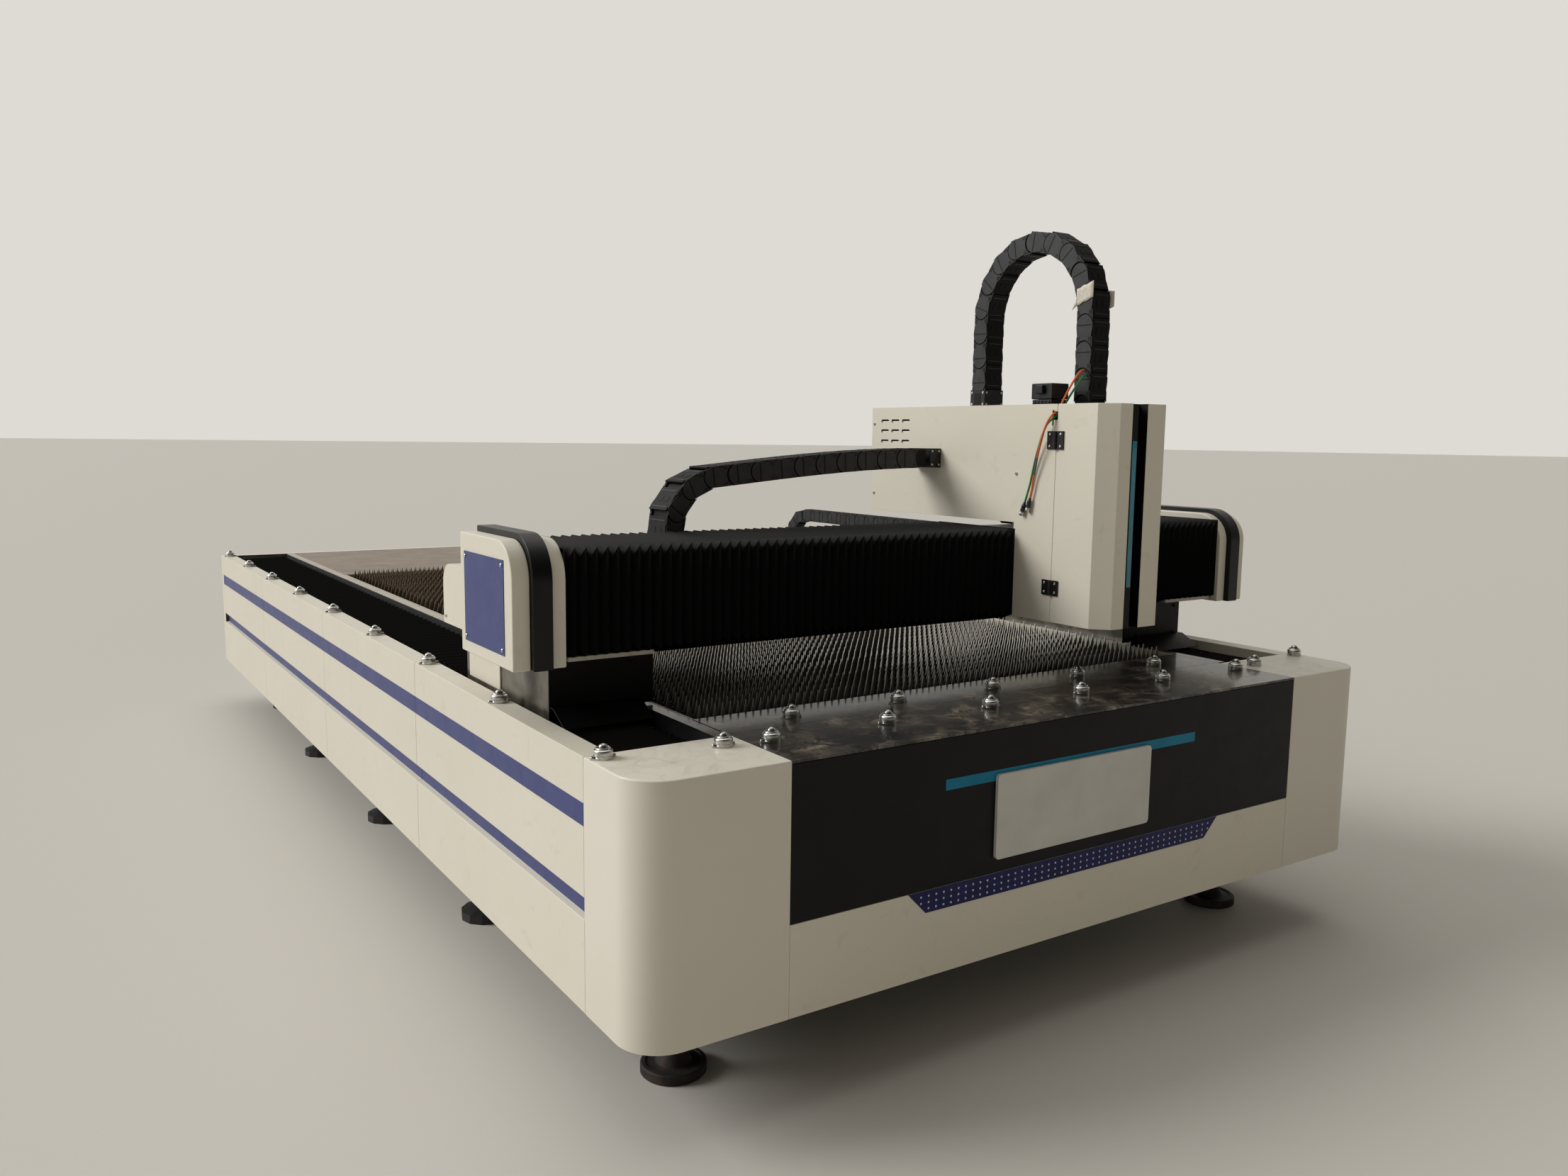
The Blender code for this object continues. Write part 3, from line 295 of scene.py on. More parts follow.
for shade, route, jacket in [
    ("green", GREEN_ROUTE, lead_jacket("green_pvc_jacket", ("#1E6B2E", "#2F8A3F"), 1.318, 1.352)),
    ("orange", ORANGE_ROUTE, lead_jacket("orange_pvc_jacket", ("#C4511C", "#DE6A2A"), 1.285, 1.330)),
]:
    path = smooth_route(route, LEAD_RADIUS * 2)
    curve = bpy.data.curves.new(f"lead_{shade}_line", "CURVE")
    curve.dimensions = "3D"
    curve.bevel_depth = LEAD_RADIUS
    curve.bevel_resolution = 4
    curve.use_fill_caps = True
    spline = curve.splines.new("POLY")
    spline.points.add(len(path) - 1)
    for point, spot in zip(spline.points, path):
        point.co = (*spot, 1.0)
    curve.materials.append(jacket)
    lead = bpy.data.objects.new(f"lead_{shade}_line", curve)
    bpy.context.scene.collection.objects.link(lead)
    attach(lead, "carriage")
    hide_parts(f"lead_{shade}")
    shape = bmesh.new()
    end = path[-1] - BED_CORNER
    way = (path[-1] - path[-3]).normalized()
    turned(shape, [(0.0, 0.0003), (0.0034, 0.0003), (0.0036, 0.002), (0.0042, 0.006), (0.0056, 0.009),
                   (0.0058, 0.012), (0.0056, 0.0125), (0.0058, 0.015), (0.0056, 0.0155), (0.0060, 0.018),
                   (0.0060, 0.026), (0.0055, 0.0264)], end, way, 20)
    turned(shape, [(0.0055, 0.0264), (0.0064, 0.0270), (0.0065, 0.0284), (0.0061, 0.0290), (0.0065, 0.0296),
                   (0.0065, 0.0360), (0.0061, 0.0380), (0.0048, 0.0380), (0.0046, 0.0330), (0.0, 0.0330)],
           end, way, 20, 1)
    plug = piece(f"plug_{shade}", shape, [plug_body, nickel], "carriage", [f"connector_{shade}"],
                 slot="black_paint")


# Bed frame. Box beams of welded plate run down both sides and three cross members join them. They are painted
# dark grey, and stand on ten levelling feet of black iron whose rough casting has rusted.

# Brushed enamel gives a dull dark grey, paler and warmer where dust has settled.
frame_enamel = mottled(
    "dark_grey_frame_enamel", {"Scale": 9.0, "Detail": 8.0, "Roughness": 0.7},
    [(0.35, "#161719"), (0.62, "#1F2022"), (0.8, "#33312D")], {"Roughness": 0.5},
    {"Scale": 180.0, "Detail": 4.0}, (0.2, 0.0006))
# Sand casting leaves a coarse dull skin, drawn with a 6 mm grain so that it shows. Rust lies on it in brown
# patches.
rusty_iron = mottled(
    "rusted_cast_iron", {"Scale": 24.0, "Detail": 6.0},
    [(0.3, "#191716"), (0.52, "#2A2320"), (0.75, "#4A3527")],
    {"Roughness": 0.72, "Metallic": 0.2}, {"Scale": 160.0, "Detail": 8.0, "Roughness": 0.65}, (0.5, 0.0015))


def coat(node, *finishes):
    """Gives a CAD node that stays in view its finish, slot by slot."""
    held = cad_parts[node]
    for i, finish in enumerate(finishes):
        if i < len(held.material_slots):
            held.material_slots[i].material = finish
        else:
            held.data.materials.append(finish)


for node in ("frame_beam_left", "frame_beam_right", "frame_cross_front", "frame_cross_centre",
             "frame_cross_rear"):
    coat(node, frame_enamel)

# The stud's thread is drawn 6.4 mm apart, about twice as coarse as a real one, so that it still shows.
FOOT_GROUND, STUD_FOOT, THREAD_PITCH = -TABLE_HEIGHT, 0.058, 0.0064
shape = bmesh.new()
for x, y in [(0.235, 0.300), (0.235, 4.400), (2.065, 0.300), (2.065, 4.400)]:
    turned(shape, [(0.0, 0.0), (0.070, 0.0), (0.073, 0.003), (0.073, 0.021), (0.070, 0.024), (0.062, 0.0245),
                   (0.060, 0.022), (0.046, 0.022), (0.040, 0.0245), (0.034, 0.034), (0.026, 0.052),
                   (0.022, 0.060), (0.0, 0.060)], (x, y, FOOT_GROUND), steps=48)
    stud = []
    for i in range(24):
        stud += [(0.0140, STUD_FOOT + i * THREAD_PITCH), (0.0128, STUD_FOOT + (i + 0.5) * THREAD_PITCH)]
    turned(shape, [(0.0, STUD_FOOT)] + stud + [(0.0, 0.2115)], (x, y, FOOT_GROUND), steps=20)
    for low, high in [(0.098, 0.116), (0.186, 0.210)]:
        ring = bmesh.ops.create_cone(shape, cap_ends=True, segments=6, radius1=0.026, radius2=0.026,
                                     depth=high - low)["verts"]
        bmesh.ops.translate(shape, verts=ring, vec=(x, y, FOOT_GROUND + (low + high) / 2))
piece("levelling_feet", shape, [rusty_iron], "bed",
      [f"levelling_foot_{spot}" for spot in ("front_left", "rear_left", "front_right", "rear_right")],
      slot="cast_iron")


# Side covers. Each side wears four lengths of 3 mm sheet in two rows, folded at the top edge, screwed to the
# frame and powder coated warm white. A blue band is masked on the upper row and the groove between is blue.
def powder_coat(name, colour, shade, grime, strength, gloss=0.5):
    """Polyester powder, baked, gives a satin skin with a fine orange peel, handled and lightly soiled."""
    material, tree, shader, place = finish_for(name)
    cloud = add(tree, "TexNoise", {"Vector": place, "Scale": 2.6, "Detail": 7.0, "Roughness": 0.6})
    tone = add(tree, "Mix", {0: cloud.outputs["Fac"], 6: colour, 7: shade}, data_type="RGBA")
    smear = add(tree, "TexNoise",
                {"Vector": place, "Scale": 14.0, "Detail": 8.0, "Roughness": 0.72, "Distortion": 0.6})
    soiled = add(tree, "MapRange",
                 {"Value": smear.outputs["Fac"], "From Min": 0.58, "From Max": 0.80, "To Max": strength})
    dirty = add(tree, "Mix", {0: soiled.outputs[0], 6: tone.outputs[2], 7: grime}, data_type="RGBA")
    rough = add(tree, "MapRange", {"Value": smear.outputs["Fac"], "From Min": 0.3, "From Max": 0.8,
                                   "To Min": 0.36, "To Max": 0.52})
    peel = add(tree, "TexNoise", {"Vector": place, "Scale": 300.0, "Detail": 2.0})
    bump = add(tree, "Bump", {"Height": peel.outputs["Fac"], "Strength": 0.10, "Distance": 0.0005})
    feed(tree, shader, {"Base Color": dirty.outputs[2], "Roughness": rough.outputs[0],
                        "Specular IOR Level": gloss, "Normal": bump.outputs[0]})
    return material


white_coat = powder_coat("warm_white_powder_coat", "#DDD8C9", "#D3CDBC", "#9C9077", 0.35)
blue_coat = powder_coat("blue_powder_coat", "#1F2C69", "#263474", "#1B244A", 0.4, 0.6)
black_coat = powder_coat("satin_black_powder_coat", "#09090A", "#0E0E0F", "#1D1B19", 0.3, 0.18)


def block(shape, low, high, finish=0):
    """A plain block between two corners."""
    corners = bmesh.ops.create_cube(shape, size=1.0)["verts"]
    bmesh.ops.scale(shape, verts=corners, vec=Vector(high) - Vector(low))
    bmesh.ops.translate(shape, verts=corners, vec=(Vector(low) + Vector(high)) / 2)
    for face in {f for v in corners for f in v.link_faces}:
        face.material_index = finish


def drawn_out(shape, drawn, way):
    """Moves the points among what an extrusion made, and gives them back."""
    points = [g for g in drawn["geom"] if isinstance(g, bmesh.types.BMVert)]
    bmesh.ops.translate(shape, verts=points, vec=way)
    return points


def pressed(shape, path, axis, start, stop, finish=0):
    """A sheet folded along a path and drawn out from start to stop along an axis."""
    first = []
    for point in path:
        spot = list(point)
        spot.insert(axis, start)
        first.append(shape.verts.new(spot))
    lengths = [shape.edges.new(pair) for pair in zip(first, first[1:])]
    drawn = bmesh.ops.extrude_edge_only(shape, edges=lengths)
    way = [0.0, 0.0, 0.0]
    way[axis] = stop - start
    drawn_out(shape, drawn, way)
    for face in (g for g in drawn["geom"] if isinstance(g, bmesh.types.BMFace)):
        face.material_index = finish


def mirrored(left):
    """The mesh of a left piece turned over for the right side. It keeps its finishes."""
    mesh = left.data.copy()
    mesh.transform(Matrix.Scale(-1.0, 4, (1, 0, 0)))
    mesh.flip_normals()
    return mesh


def both_sides(name, shape, finishes, body, stands_for=(), inside=None, **how):
    """A left piece and its mirror on the right. stands_for names nodes without their side."""
    left = piece(f"{name}_left", shape, finishes, body, [f"{n}_left" for n in stands_for], inside, **how)
    set_up(f"{name}_right", mirrored(left), finishes, body, [f"{n}_right" for n in stands_for], **how)


SEAMS = [0.2353, 1.364, 2.466, 3.601, 4.6497]
SEAM_GAP, COVER_FOOT, SHEET = 0.0008, -0.532, 0.003
SIDE_INSIDE = (MIDDLE_X, MIDDLE_Y, -0.3)
upper, lower, bands = bmesh.new(), bmesh.new(), bmesh.new()
for y_low, y_high in zip(SEAMS, SEAMS[1:]):
    start, stop = y_low + SEAM_GAP, y_high - SEAM_GAP
    pressed(upper, [(0.058, -0.030), (0.058, 0), (0, 0), (0, -0.2885), (0.0622, -0.2885)], 1, start, stop)
    pressed(lower, [(0.014, -0.2920), (0.014, -0.331)], 1, start, stop, 1)
    pressed(lower, [(0.014, -0.331), (0, -0.334), (0, COVER_FOOT), (0.10, COVER_FOOT)], 1, start, stop)
    block(bands, (-0.0004, start, -0.141), (0.0002, stop, -0.094))
bmesh.ops.remove_doubles(lower, verts=lower.verts[:], dist=1e-5)
both_sides("side_cover_upper", upper, [white_coat], "bed", ["side_panel_upper"], SIDE_INSIDE,
           wall=SHEET, edge=0.0022, slot="white_paint")
both_sides("side_cover_lower", lower, [white_coat, blue_coat], "bed", ["side_panel_lower"], SIDE_INSIDE,
           wall=SHEET, edge=0.0022, slot="white_paint")
both_sides("blue_band", bands, [blue_coat], "bed", slot="white_paint")


# Corner covers. Each front corner is one deep cover, rolled to a 95 mm radius with its top welded in and
# ground smooth, then powder coated. Its top carries brown rings and smears where parts have stood.

# The coat is the same satin white as on the sides. What faces up is stained in brown clouds, thin outlines and
# one ring about 60 mm wide.
stained_coat, tree, shader, place = finish_for("stained_white_powder_coat")
cloud = add(tree, "TexNoise", {"Vector": place, "Scale": 2.6, "Detail": 7.0, "Roughness": 0.6})
tone = add(tree, "Mix", {0: cloud.outputs["Fac"], 6: "#DDD8CB", 7: "#D2CCBD"}, data_type="RGBA")
drips = add(tree, "TexNoise", {"Vector": place, "Scale": 10.0, "Detail": 9.0, "Roughness": 0.7,
                               "Distortion": 0.7})
ring_place = add(tree, "TexNoise", {"Vector": place, "Scale": 11.0, "Detail": 4.0})
rings = add(tree, "ValToRGB", {0: ring_place.outputs["Fac"]},
            [(0.47, (0, 0, 0, 1)), (0.5, (1, 1, 1, 1)), (0.53, (0, 0, 0, 1))])
flat = add(tree, "SeparateXYZ", {0: add(tree, "NewGeometry").outputs["Normal"]})
on_top = add(tree, "MapRange", {"Value": flat.outputs["Z"], "From Min": 0.7, "From Max": 0.95})
marks = add(tree, "MapRange", {"Value": drips.outputs["Fac"], "From Min": 0.52, "From Max": 0.78,
                               "To Max": 0.5})
ringed = add(tree, "Math", {0: rings.outputs[0], 1: 0.13}, operation="MULTIPLY")
stood = add(tree, "VectorMath", {0: place, 1: (-1.056, -2.222, 0.75)}, operation="DISTANCE")
wobble = add(tree, "Math", {0: ring_place.outputs["Fac"], 1: 0.06}, operation="MULTIPLY")
around = add(tree, "Math", {0: stood.outputs["Value"], 1: wobble.outputs[0]}, operation="ADD")
widened = add(tree, "Math", {0: around.outputs[0], 1: 8.0}, operation="MULTIPLY")
cup_ring = add(tree, "ValToRGB", {0: widened.outputs[0]},
               [(0.44, (0, 0, 0, 1)), (0.50, (0.22, 0.22, 0.22, 1)), (0.55, (0, 0, 0, 1))])
soil = add(tree, "Math", {0: marks.outputs[0], 1: ringed.outputs[0]}, operation="MAXIMUM")
soil = add(tree, "Math", {0: soil.outputs[0], 1: cup_ring.outputs[0]}, operation="MAXIMUM")
soiled = add(tree, "Math", {0: soil.outputs[0], 1: on_top.outputs[0]}, operation="MULTIPLY")
colour = add(tree, "Mix", {0: soiled.outputs[0], 6: tone.outputs[2], 7: "#8A7A58"}, data_type="RGBA")
peel = add(tree, "TexNoise", {"Vector": place, "Scale": 300.0, "Detail": 2.0})
bump = add(tree, "Bump", {"Height": peel.outputs["Fac"], "Strength": 0.10, "Distance": 0.0005})
feed(tree, shader, {"Base Color": colour.outputs[2], "Roughness": 0.42, "Normal": bump.outputs[0]})

CORNER_RADIUS, CORNER_RIGHT, CORNER_REAR = 0.095, 0.3347, 0.235
shape = bmesh.new()
outline = [(0.0, CORNER_REAR)]
for i in range(13):
    turn = math.radians(180 + 90 * i / 12)
    outline.append((CORNER_RADIUS + CORNER_RADIUS * math.cos(turn),
                    CORNER_RADIUS + CORNER_RADIUS * math.sin(turn)))
outline.append((CORNER_RIGHT, 0.0))
rim = [shape.verts.new((x, y, 0.0)) for x, y in outline]
far = shape.verts.new((CORNER_RIGHT, CORNER_REAR, 0.0))
top = shape.faces.new(rim + [far])
outer_edges = [e for e in top.edges if far not in e.verts]
drawn_out(shape, bmesh.ops.extrude_edge_only(shape, edges=outer_edges), (0, 0, COVER_FOOT))
rolled = [e for e in shape.edges if e.calc_face_angle(0.0) > 1.2]
bmesh.ops.bevel(shape, geom=rolled, offset=0.004, segments=3, profile=0.5, affect="EDGES", material=-1)
both_sides("corner_cover", shape, [stained_coat], "bed", ["corner_cover"], (0.25, 0.2, -0.3), wall=SHEET,
           edge=0.0006, slot="white_paint")


# Front. A satin black panel over a white one, both folded sheet. The black one wears a teal strip and a raised
# blank plate of white board, the white one a band of navy sheet drilled with three rows of holes.
FRONT_LEFT, FRONT_RIGHT, FOLD = 0.3353, 1.9647, 0.0497
for row, top, foot, finish, slot, middle in [
    ("upper", -0.0063, -0.3345, black_coat, "black_paint", -0.2),
    ("lower", -0.3351, COVER_FOOT, white_coat, "white_paint", -0.45),
]:
    shape = bmesh.new()
    pressed(shape, [(FOLD, top), (0.0, top), (0.0, foot), (FOLD, foot)], 0, FRONT_LEFT, FRONT_RIGHT)
    piece(f"front_panel_{row}_sheet", shape, [finish], "bed", [f"front_panel_{row}"], (MIDDLE_X, 0.5, middle),
          wall=SHEET, edge=0.0015, slot=slot)

# Vinyl film lies flat and even, with a low satin shine.
teal_film = mottled("teal_vinyl_film", {"Scale": 6.0, "Detail": 5.0}, [(0.3, "#006F90"), (0.7, "#087FA0")],
                    {"Roughness": 0.35, "Specular IOR Level": 0.2})
shape = bmesh.new()
block(shape, (0.733, -0.0004, -0.122), (1.558, 0.0003, -0.098))
piece("teal_strip_front", shape, [teal_film], "bed")

# Cast acrylic is glossy and a shade greyer than the powder coat.
white_board = mottled("white_acrylic_board", {"Scale": 11.0, "Detail": 6.0},
                      [(0.3, "#C2BFB7"), (0.7, "#CDCAC2")], {"Roughness": 0.22})
shape = bmesh.new()
block(shape, (0.878, -0.009, -0.302), (1.385, -0.0002, -0.107))
corners = [e for e in shape.edges if abs((e.verts[0].co - e.verts[1].co).y) > 0.005]
bmesh.ops.bevel(shape, geom=corners, offset=0.010, segments=5, profile=0.5, affect="EDGES", material=-1)
piece("blank_plate_front", shape, [white_board], "bed", edge=0.0010)

# Stoved enamel covers the navy sheet with a deep, slightly dull blue. The panel's white shows in the holes,
# tinted blue by their edges.
navy_sheet = mottled("navy_enamelled_sheet", {"Scale": 30.0, "Detail": 5.0},
                     [(0.3, "#0B0F47"), (0.7, "#11165A")], {"Roughness": 0.4, "Specular IOR Level": 0.25})
lit_hole = mottled("white_paint_in_holes", {"Scale": 90.0}, [(0.3, "#B4B6C8"), (0.7, "#C9CBDA")],
                   {"Roughness": 0.5})


def slab(shape, outline, way):
    """A flat outline drawn out along way to a solid. Gives back the points of both its faces."""
    face = shape.faces.new([shape.verts.new(point) for point in outline])
    return list(face.verts) + drawn_out(shape, bmesh.ops.extrude_face_region(shape, geom=[face]), way)


HOLES, HOLE_PITCH = 48, 1.0 / 47
shape = bmesh.new()
slab(shape, [(0.636, 0, -0.3353), (1.664, 0, -0.3353), (1.615, 0, -0.385), (0.685, 0, -0.385)],
     (0, -0.0010, 0))
for row in range(3):
    for column in range(HOLES):
        x = MIDDLE_X - 0.500 + column * HOLE_PITCH
        if abs(x - MIDDLE_X) <= 0.497 - row * 0.0150:
            dot = bmesh.ops.create_circle(shape, cap_ends=True, segments=10, radius=0.0026)["verts"]
            bmesh.ops.rotate(shape, verts=dot, matrix=Matrix.Rotation(math.radians(90), 3, "X"))
            bmesh.ops.translate(shape, verts=dot, vec=(x, -0.0012, -0.3475 - row * 0.0140))
            for dot_face in dot[0].link_faces:
                dot_face.material_index = 1
piece("navy_drilled_band", shape, [navy_sheet, lit_hole], "bed")


# Top plates. Two lengths of 6 mm hot rolled plate close the bed's front end. Sheets slide over them, so the
# steel is scuffed, oily and smeared with grease, and a splash of black paint has dried on it.

# Mill scale gives dark clouds of about 80 mm that are worn pale, and the scuffs are streaks 4 mm apart.
hot_rolled, tree, shader, place = finish_for("oiled_hot_rolled_steel")
cloud = add(tree, "TexNoise", {"Vector": place, "Scale": 12.0, "Detail": 9.0, "Roughness": 0.66,
                               "Distortion": 0.6})
mill = add(tree, "ValToRGB", {0: cloud.outputs["Fac"]},
           [(0.34, "#1A1816"), (0.47, "#302C28"), (0.58, "#60574B"), (0.70, "#9A8F7C")])
rubbed = add(tree, "Mapping", {"Vector": place, "Scale": (4.0, 260.0, 1.0), "Rotation": (0, 0, 0.35)})
scratch = add(tree, "TexNoise", {"Vector": rubbed.outputs[0], "Scale": 1.0, "Detail": 3.0})
scratched = add(tree, "MapRange", {"Value": scratch.outputs["Fac"], "From Min": 0.64, "From Max": 0.72,
                                   "To Max": 0.35})
scuffed = add(tree, "Mix", {0: scratched.outputs[0], 6: mill.outputs[0], 7: "#B7B2A8"}, data_type="RGBA")
# Smears of black grease lie across the clean steel, with edges a few millimetres wide.
grease = add(tree, "TexNoise", {"Vector": place, "Scale": 17.0, "Detail": 8.0, "Roughness": 0.6,
                                "Distortion": 2.4})
greased = add(tree, "MapRange", {"Value": grease.outputs["Fac"], "From Min": 0.555, "From Max": 0.585,
                                 "To Max": 0.75})
colour = add(tree, "Mix", {0: greased.outputs[0], 6: scuffed.outputs[2], 7: "#0D0C0B"}, data_type="RGBA")
splash_noise = add(tree, "TexNoise", {"Vector": place, "Scale": 22.0, "Detail": 7.0, "Distortion": 1.6})
squashed = add(tree, "Mapping", {"Vector": place, "Scale": (0.5, 1.0, 1.0)})
splash_centre = add(tree, "VectorMath", {0: squashed.outputs[0], 1: (-0.29, -2.28, 0.75)},
                    operation="DISTANCE")
splash_reach = add(tree, "MapRange", {"Value": splash_centre.outputs["Value"], "From Min": 0.01,
                                      "From Max": 0.10, "To Min": 0.22, "To Max": -0.16})
splash_sum = add(tree, "Math", {0: splash_noise.outputs["Fac"], 1: splash_reach.outputs[0]}, operation="ADD")
splash = add(tree, "MapRange", {"Value": splash_sum.outputs[0], "From Min": 0.58, "From Max": 0.60})
painted = add(tree, "Mix", {0: splash.outputs[0], 6: colour.outputs[2], 7: "#050505"}, data_type="RGBA")
# The dried paint is dull, so the oil's gloss and the bare metal stop where it lies.
bare = add(tree, "MapRange", {"Value": splash.outputs[0], "To Min": 0.45, "To Max": 0.0})
oiled = add(tree, "MapRange", {"Value": splash.outputs[0], "To Min": 0.5, "To Max": 0.0})
wear = add(tree, "MapRange", {"Value": cloud.outputs["Fac"], "From Min": 0.3, "From Max": 0.8, "To Min": 0.28,
                              "To Max": 0.50})
bump = add(tree, "Bump", {"Height": scratch.outputs["Fac"], "Strength": 0.06, "Distance": 0.0005})
feed(tree, shader, {"Base Color": painted.outputs[2], "Metallic": bare.outputs[0],
                    "Coat Weight": oiled.outputs[0], "Coat Roughness": 0.10, "Specular IOR Level": 0.3,
                    "Roughness": wear.outputs[0], "Normal": bump.outputs[0]})

for node, front, rear in (("front_top_plate", 0.0, 0.2447), ("slat_end_plate", 0.2453, 0.3997)):
    shape = bmesh.new()
    block(shape, (FRONT_LEFT, front, -0.006), (FRONT_RIGHT, rear, 0.0))
    piece(f"{node}_steel", shape, [hot_rolled], "bed", [node], edge=0.0008, slot="cut_steel")


# Ball transfer units. Thirty-one stand on the covers and plates to let a sheet roll on: a zinc-plated pressed
# cup on an eared flange, held by two screws, with a bright steel ball.

# Bright zinc mirrors in pale grey, with a faint spangle.
zinc_plate = mottled("zinc_plated_pressed_steel", {"Scale": 130.0, "Detail": 5.0},
                     [(0.3, "#B4B4B0"), (0.7, "#DDDDD8")], {"Metallic": 1.0, "Roughness": 0.27})
# The balls are polished, so each holds a small sharp picture of the light. Dust takes off a little of it.
ball_steel = mottled("polished_ball_steel", {"Scale": 240.0, "Detail": 4.0},
                     [(0.3, "#8B8A83"), (0.7, "#AEACA4")], {"Metallic": 1.0, "Roughness": 0.14})

FLANGE_RADIUS, FLANGE_THICK = 0.019, 0.0028
unit = bmesh.new()
flange = bmesh.ops.create_circle(unit, cap_ends=True, segments=40, radius=FLANGE_RADIUS)["verts"]
for v in flange:
    lean = abs(v.co.x) / FLANGE_RADIUS
    v.co.x += math.copysign(0.009 * lean ** 3, v.co.x)
    v.co.y *= 1 - 0.50 * lean ** 4
drawn_out(unit, bmesh.ops.extrude_face_region(unit, geom=unit.faces[:]), (0, 0, FLANGE_THICK))
turned(unit, [(0.0192, 0.0028), (0.0196, 0.0040), (0.0196, 0.0066), (0.0184, 0.0073), (0.0184, 0.0084),
              (0.0196, 0.0091), (0.0196, 0.0146), (0.0190, 0.0168), (0.0176, 0.0184), (0.0156, 0.0192),
              (0.0154, 0.0212), (0.0146, 0.0220), (0.0134, 0.0220), (0.0126, 0.0212), (0.0124, 0.0184),
              (0.0096, 0.0180)],
       (0, 0, 0), steps=28)
ball = bmesh.ops.create_uvsphere(unit, u_segments=20, v_segments=12, radius=0.0102)["verts"]
bmesh.ops.translate(unit, verts=ball, vec=(0, 0, 0.0206))
for f in {f for v in ball for f in v.link_faces}:
    f.material_index = 1
for side in (-1, 1):
    turned(unit, [(0.0038, 0.0028), (0.0038, 0.0050), (0.0030, 0.0062), (0.0017, 0.0062), (0.0017, 0.0046),
                  (0.0, 0.0046)], (0.0232 * side, 0, 0), steps=12)
bmesh.ops.recalc_face_normals(unit, faces=unit.faces[:])
unit_mesh = bpy.data.meshes.new("ball_unit")
unit.to_mesh(unit_mesh)
unit.free()


def stamp(shape, mesh, stand):
    """Adds a copy of a small mesh at a place."""
    had = len(shape.verts)
    shape.from_mesh(mesh)
    shape.verts.ensure_lookup_table()
    bmesh.ops.transform(shape, matrix=stand, verts=shape.verts[had:])


def unit_row(name, places):
    shape = bmesh.new()
    for x, y in places:
        stamp(shape, unit_mesh, Matrix.Translation((x, y, 0.0002)))
    piece(name, shape, [zinc_plate, ball_steel], "bed", inside=(x, y, -5.0), sharp=40, slot="cut_steel")


side_spots = [0.23 + 0.55 * k for k in range(1, 8)] + [4.615]
unit_row("ball_units_left", [(0.029, y) for y in side_spots] + [(0.029, 0.205), (0.277, 0.165)])
unit_row("ball_units_right", [(2.271, y) for y in side_spots] + [(2.271, 0.205), (2.023, 0.165)])
unit_row("ball_units_front", [(0.383 + 0.307 * k, 0.150) for k in range(6)]
         + [(0.536 + 0.307 * k, 0.305) for k in range(5)])


# Slat bed. Sixty-three slats of laser-cut steel stand on edge in comb rails, each with 77 spiked teeth on a
# 20.5 mm pitch. The front ones are grey, with a painted highlight on the cut faces near the tips, and the rear
# ones have gone rust brown.
SLAT_LEFT, SLAT_RIGHT, TOOTH_PITCH = 0.3607, 1.9393, 0.0205

# The cut faces near the tips are painted paler as a highlight. The sides are dull grey, painted darker lower
# down as shade between the slats, and all has rusted brown towards the rear. The drag lines of the cut are
# drawn
# 2 mm apart, where real ones are half a millimetre.
slat_steel, tree, shader, place = finish_for("laser_cut_slat_steel")
parts = add(tree, "SeparateXYZ", {0: place})
blotch = add(tree, "TexNoise", {"Vector": place, "Scale": 7.0, "Detail": 7.0, "Roughness": 0.65})
depth = add(tree, "Math", {0: parts.outputs["Y"], 1: blotch.outputs["Fac"]}, operation="ADD")
rusting = add(tree, "MapRange", {"Value": depth.outputs[0], "From Min": -0.9, "From Max": 0.5})
clean = add(tree, "ValToRGB", {0: blotch.outputs["Fac"]}, [(0.3, "#5B5A57"), (0.7, "#83817C")])
rust = add(tree, "ValToRGB", {0: blotch.outputs["Fac"]}, [(0.3, "#5B4D3D"), (0.7, "#8C7A63")])
body_tone = add(tree, "Mix", {0: rusting.outputs[0], 6: clean.outputs[0], 7: rust.outputs[0]},
                data_type="RGBA")
# Painted highlight: the cut faces near the tips are painted pale, greyer at the front and brown where rusted.
cut_highlight_tone = add(tree, "Mix", {0: rusting.outputs[0], 6: "#CDC8BD", 7: "#8F7E68"}, data_type="RGBA")
cut = add(tree, "SeparateXYZ", {0: add(tree, "NewGeometry").outputs["Normal"]})
sideways = add(tree, "Math", {0: cut.outputs["Y"]}, operation="ABSOLUTE")
on_cut = add(tree, "MapRange", {"Value": sideways.outputs[0], "From Min": 0.7, "From Max": 0.4, "To Max": 0.9})
high_up = add(tree, "MapRange", {"Value": parts.outputs["Z"], "From Min": 0.730, "From Max": 0.752})
cut_painted_highlight = add(tree, "Math", {0: on_cut.outputs[0], 1: high_up.outputs[0]}, operation="MULTIPLY")
colour = add(tree, "Mix", {0: cut_painted_highlight.outputs[0], 6: body_tone.outputs[2], 7: cut_highlight_tone.outputs[2]},
             data_type="RGBA")
# Painted shade: the slats grow darker lower down, to near black below the teeth, as shade between them.
painted_shade_low = add(tree, "MapRange", {"Value": parts.outputs["Z"], "From Min": 0.725, "From Max": 0.768,
                              "To Min": 0.85, "To Max": 0.0})
shade_painted_colour = add(tree, "Mix", {0: painted_shade_low.outputs[0], 6: colour.outputs[2], 7: "#161513"}, data_type="RGBA")
metal = add(tree, "MapRange", {"Value": rusting.outputs[0], "To Min": 0.45, "To Max": 0.15})
drag_lines = add(tree, "TexNoise", {"Vector": place, "Scale": 500.0, "Detail": 2.0})
bump = add(tree, "Bump", {"Height": drag_lines.outputs["Fac"], "Strength": 0.2, "Distance": 0.0005})
feed(tree, shader, {"Base Color": shade_painted_colour.outputs[2], "Metallic": metal.outputs[0], "Roughness": 0.38,
                    "Normal": bump.outputs[0]})

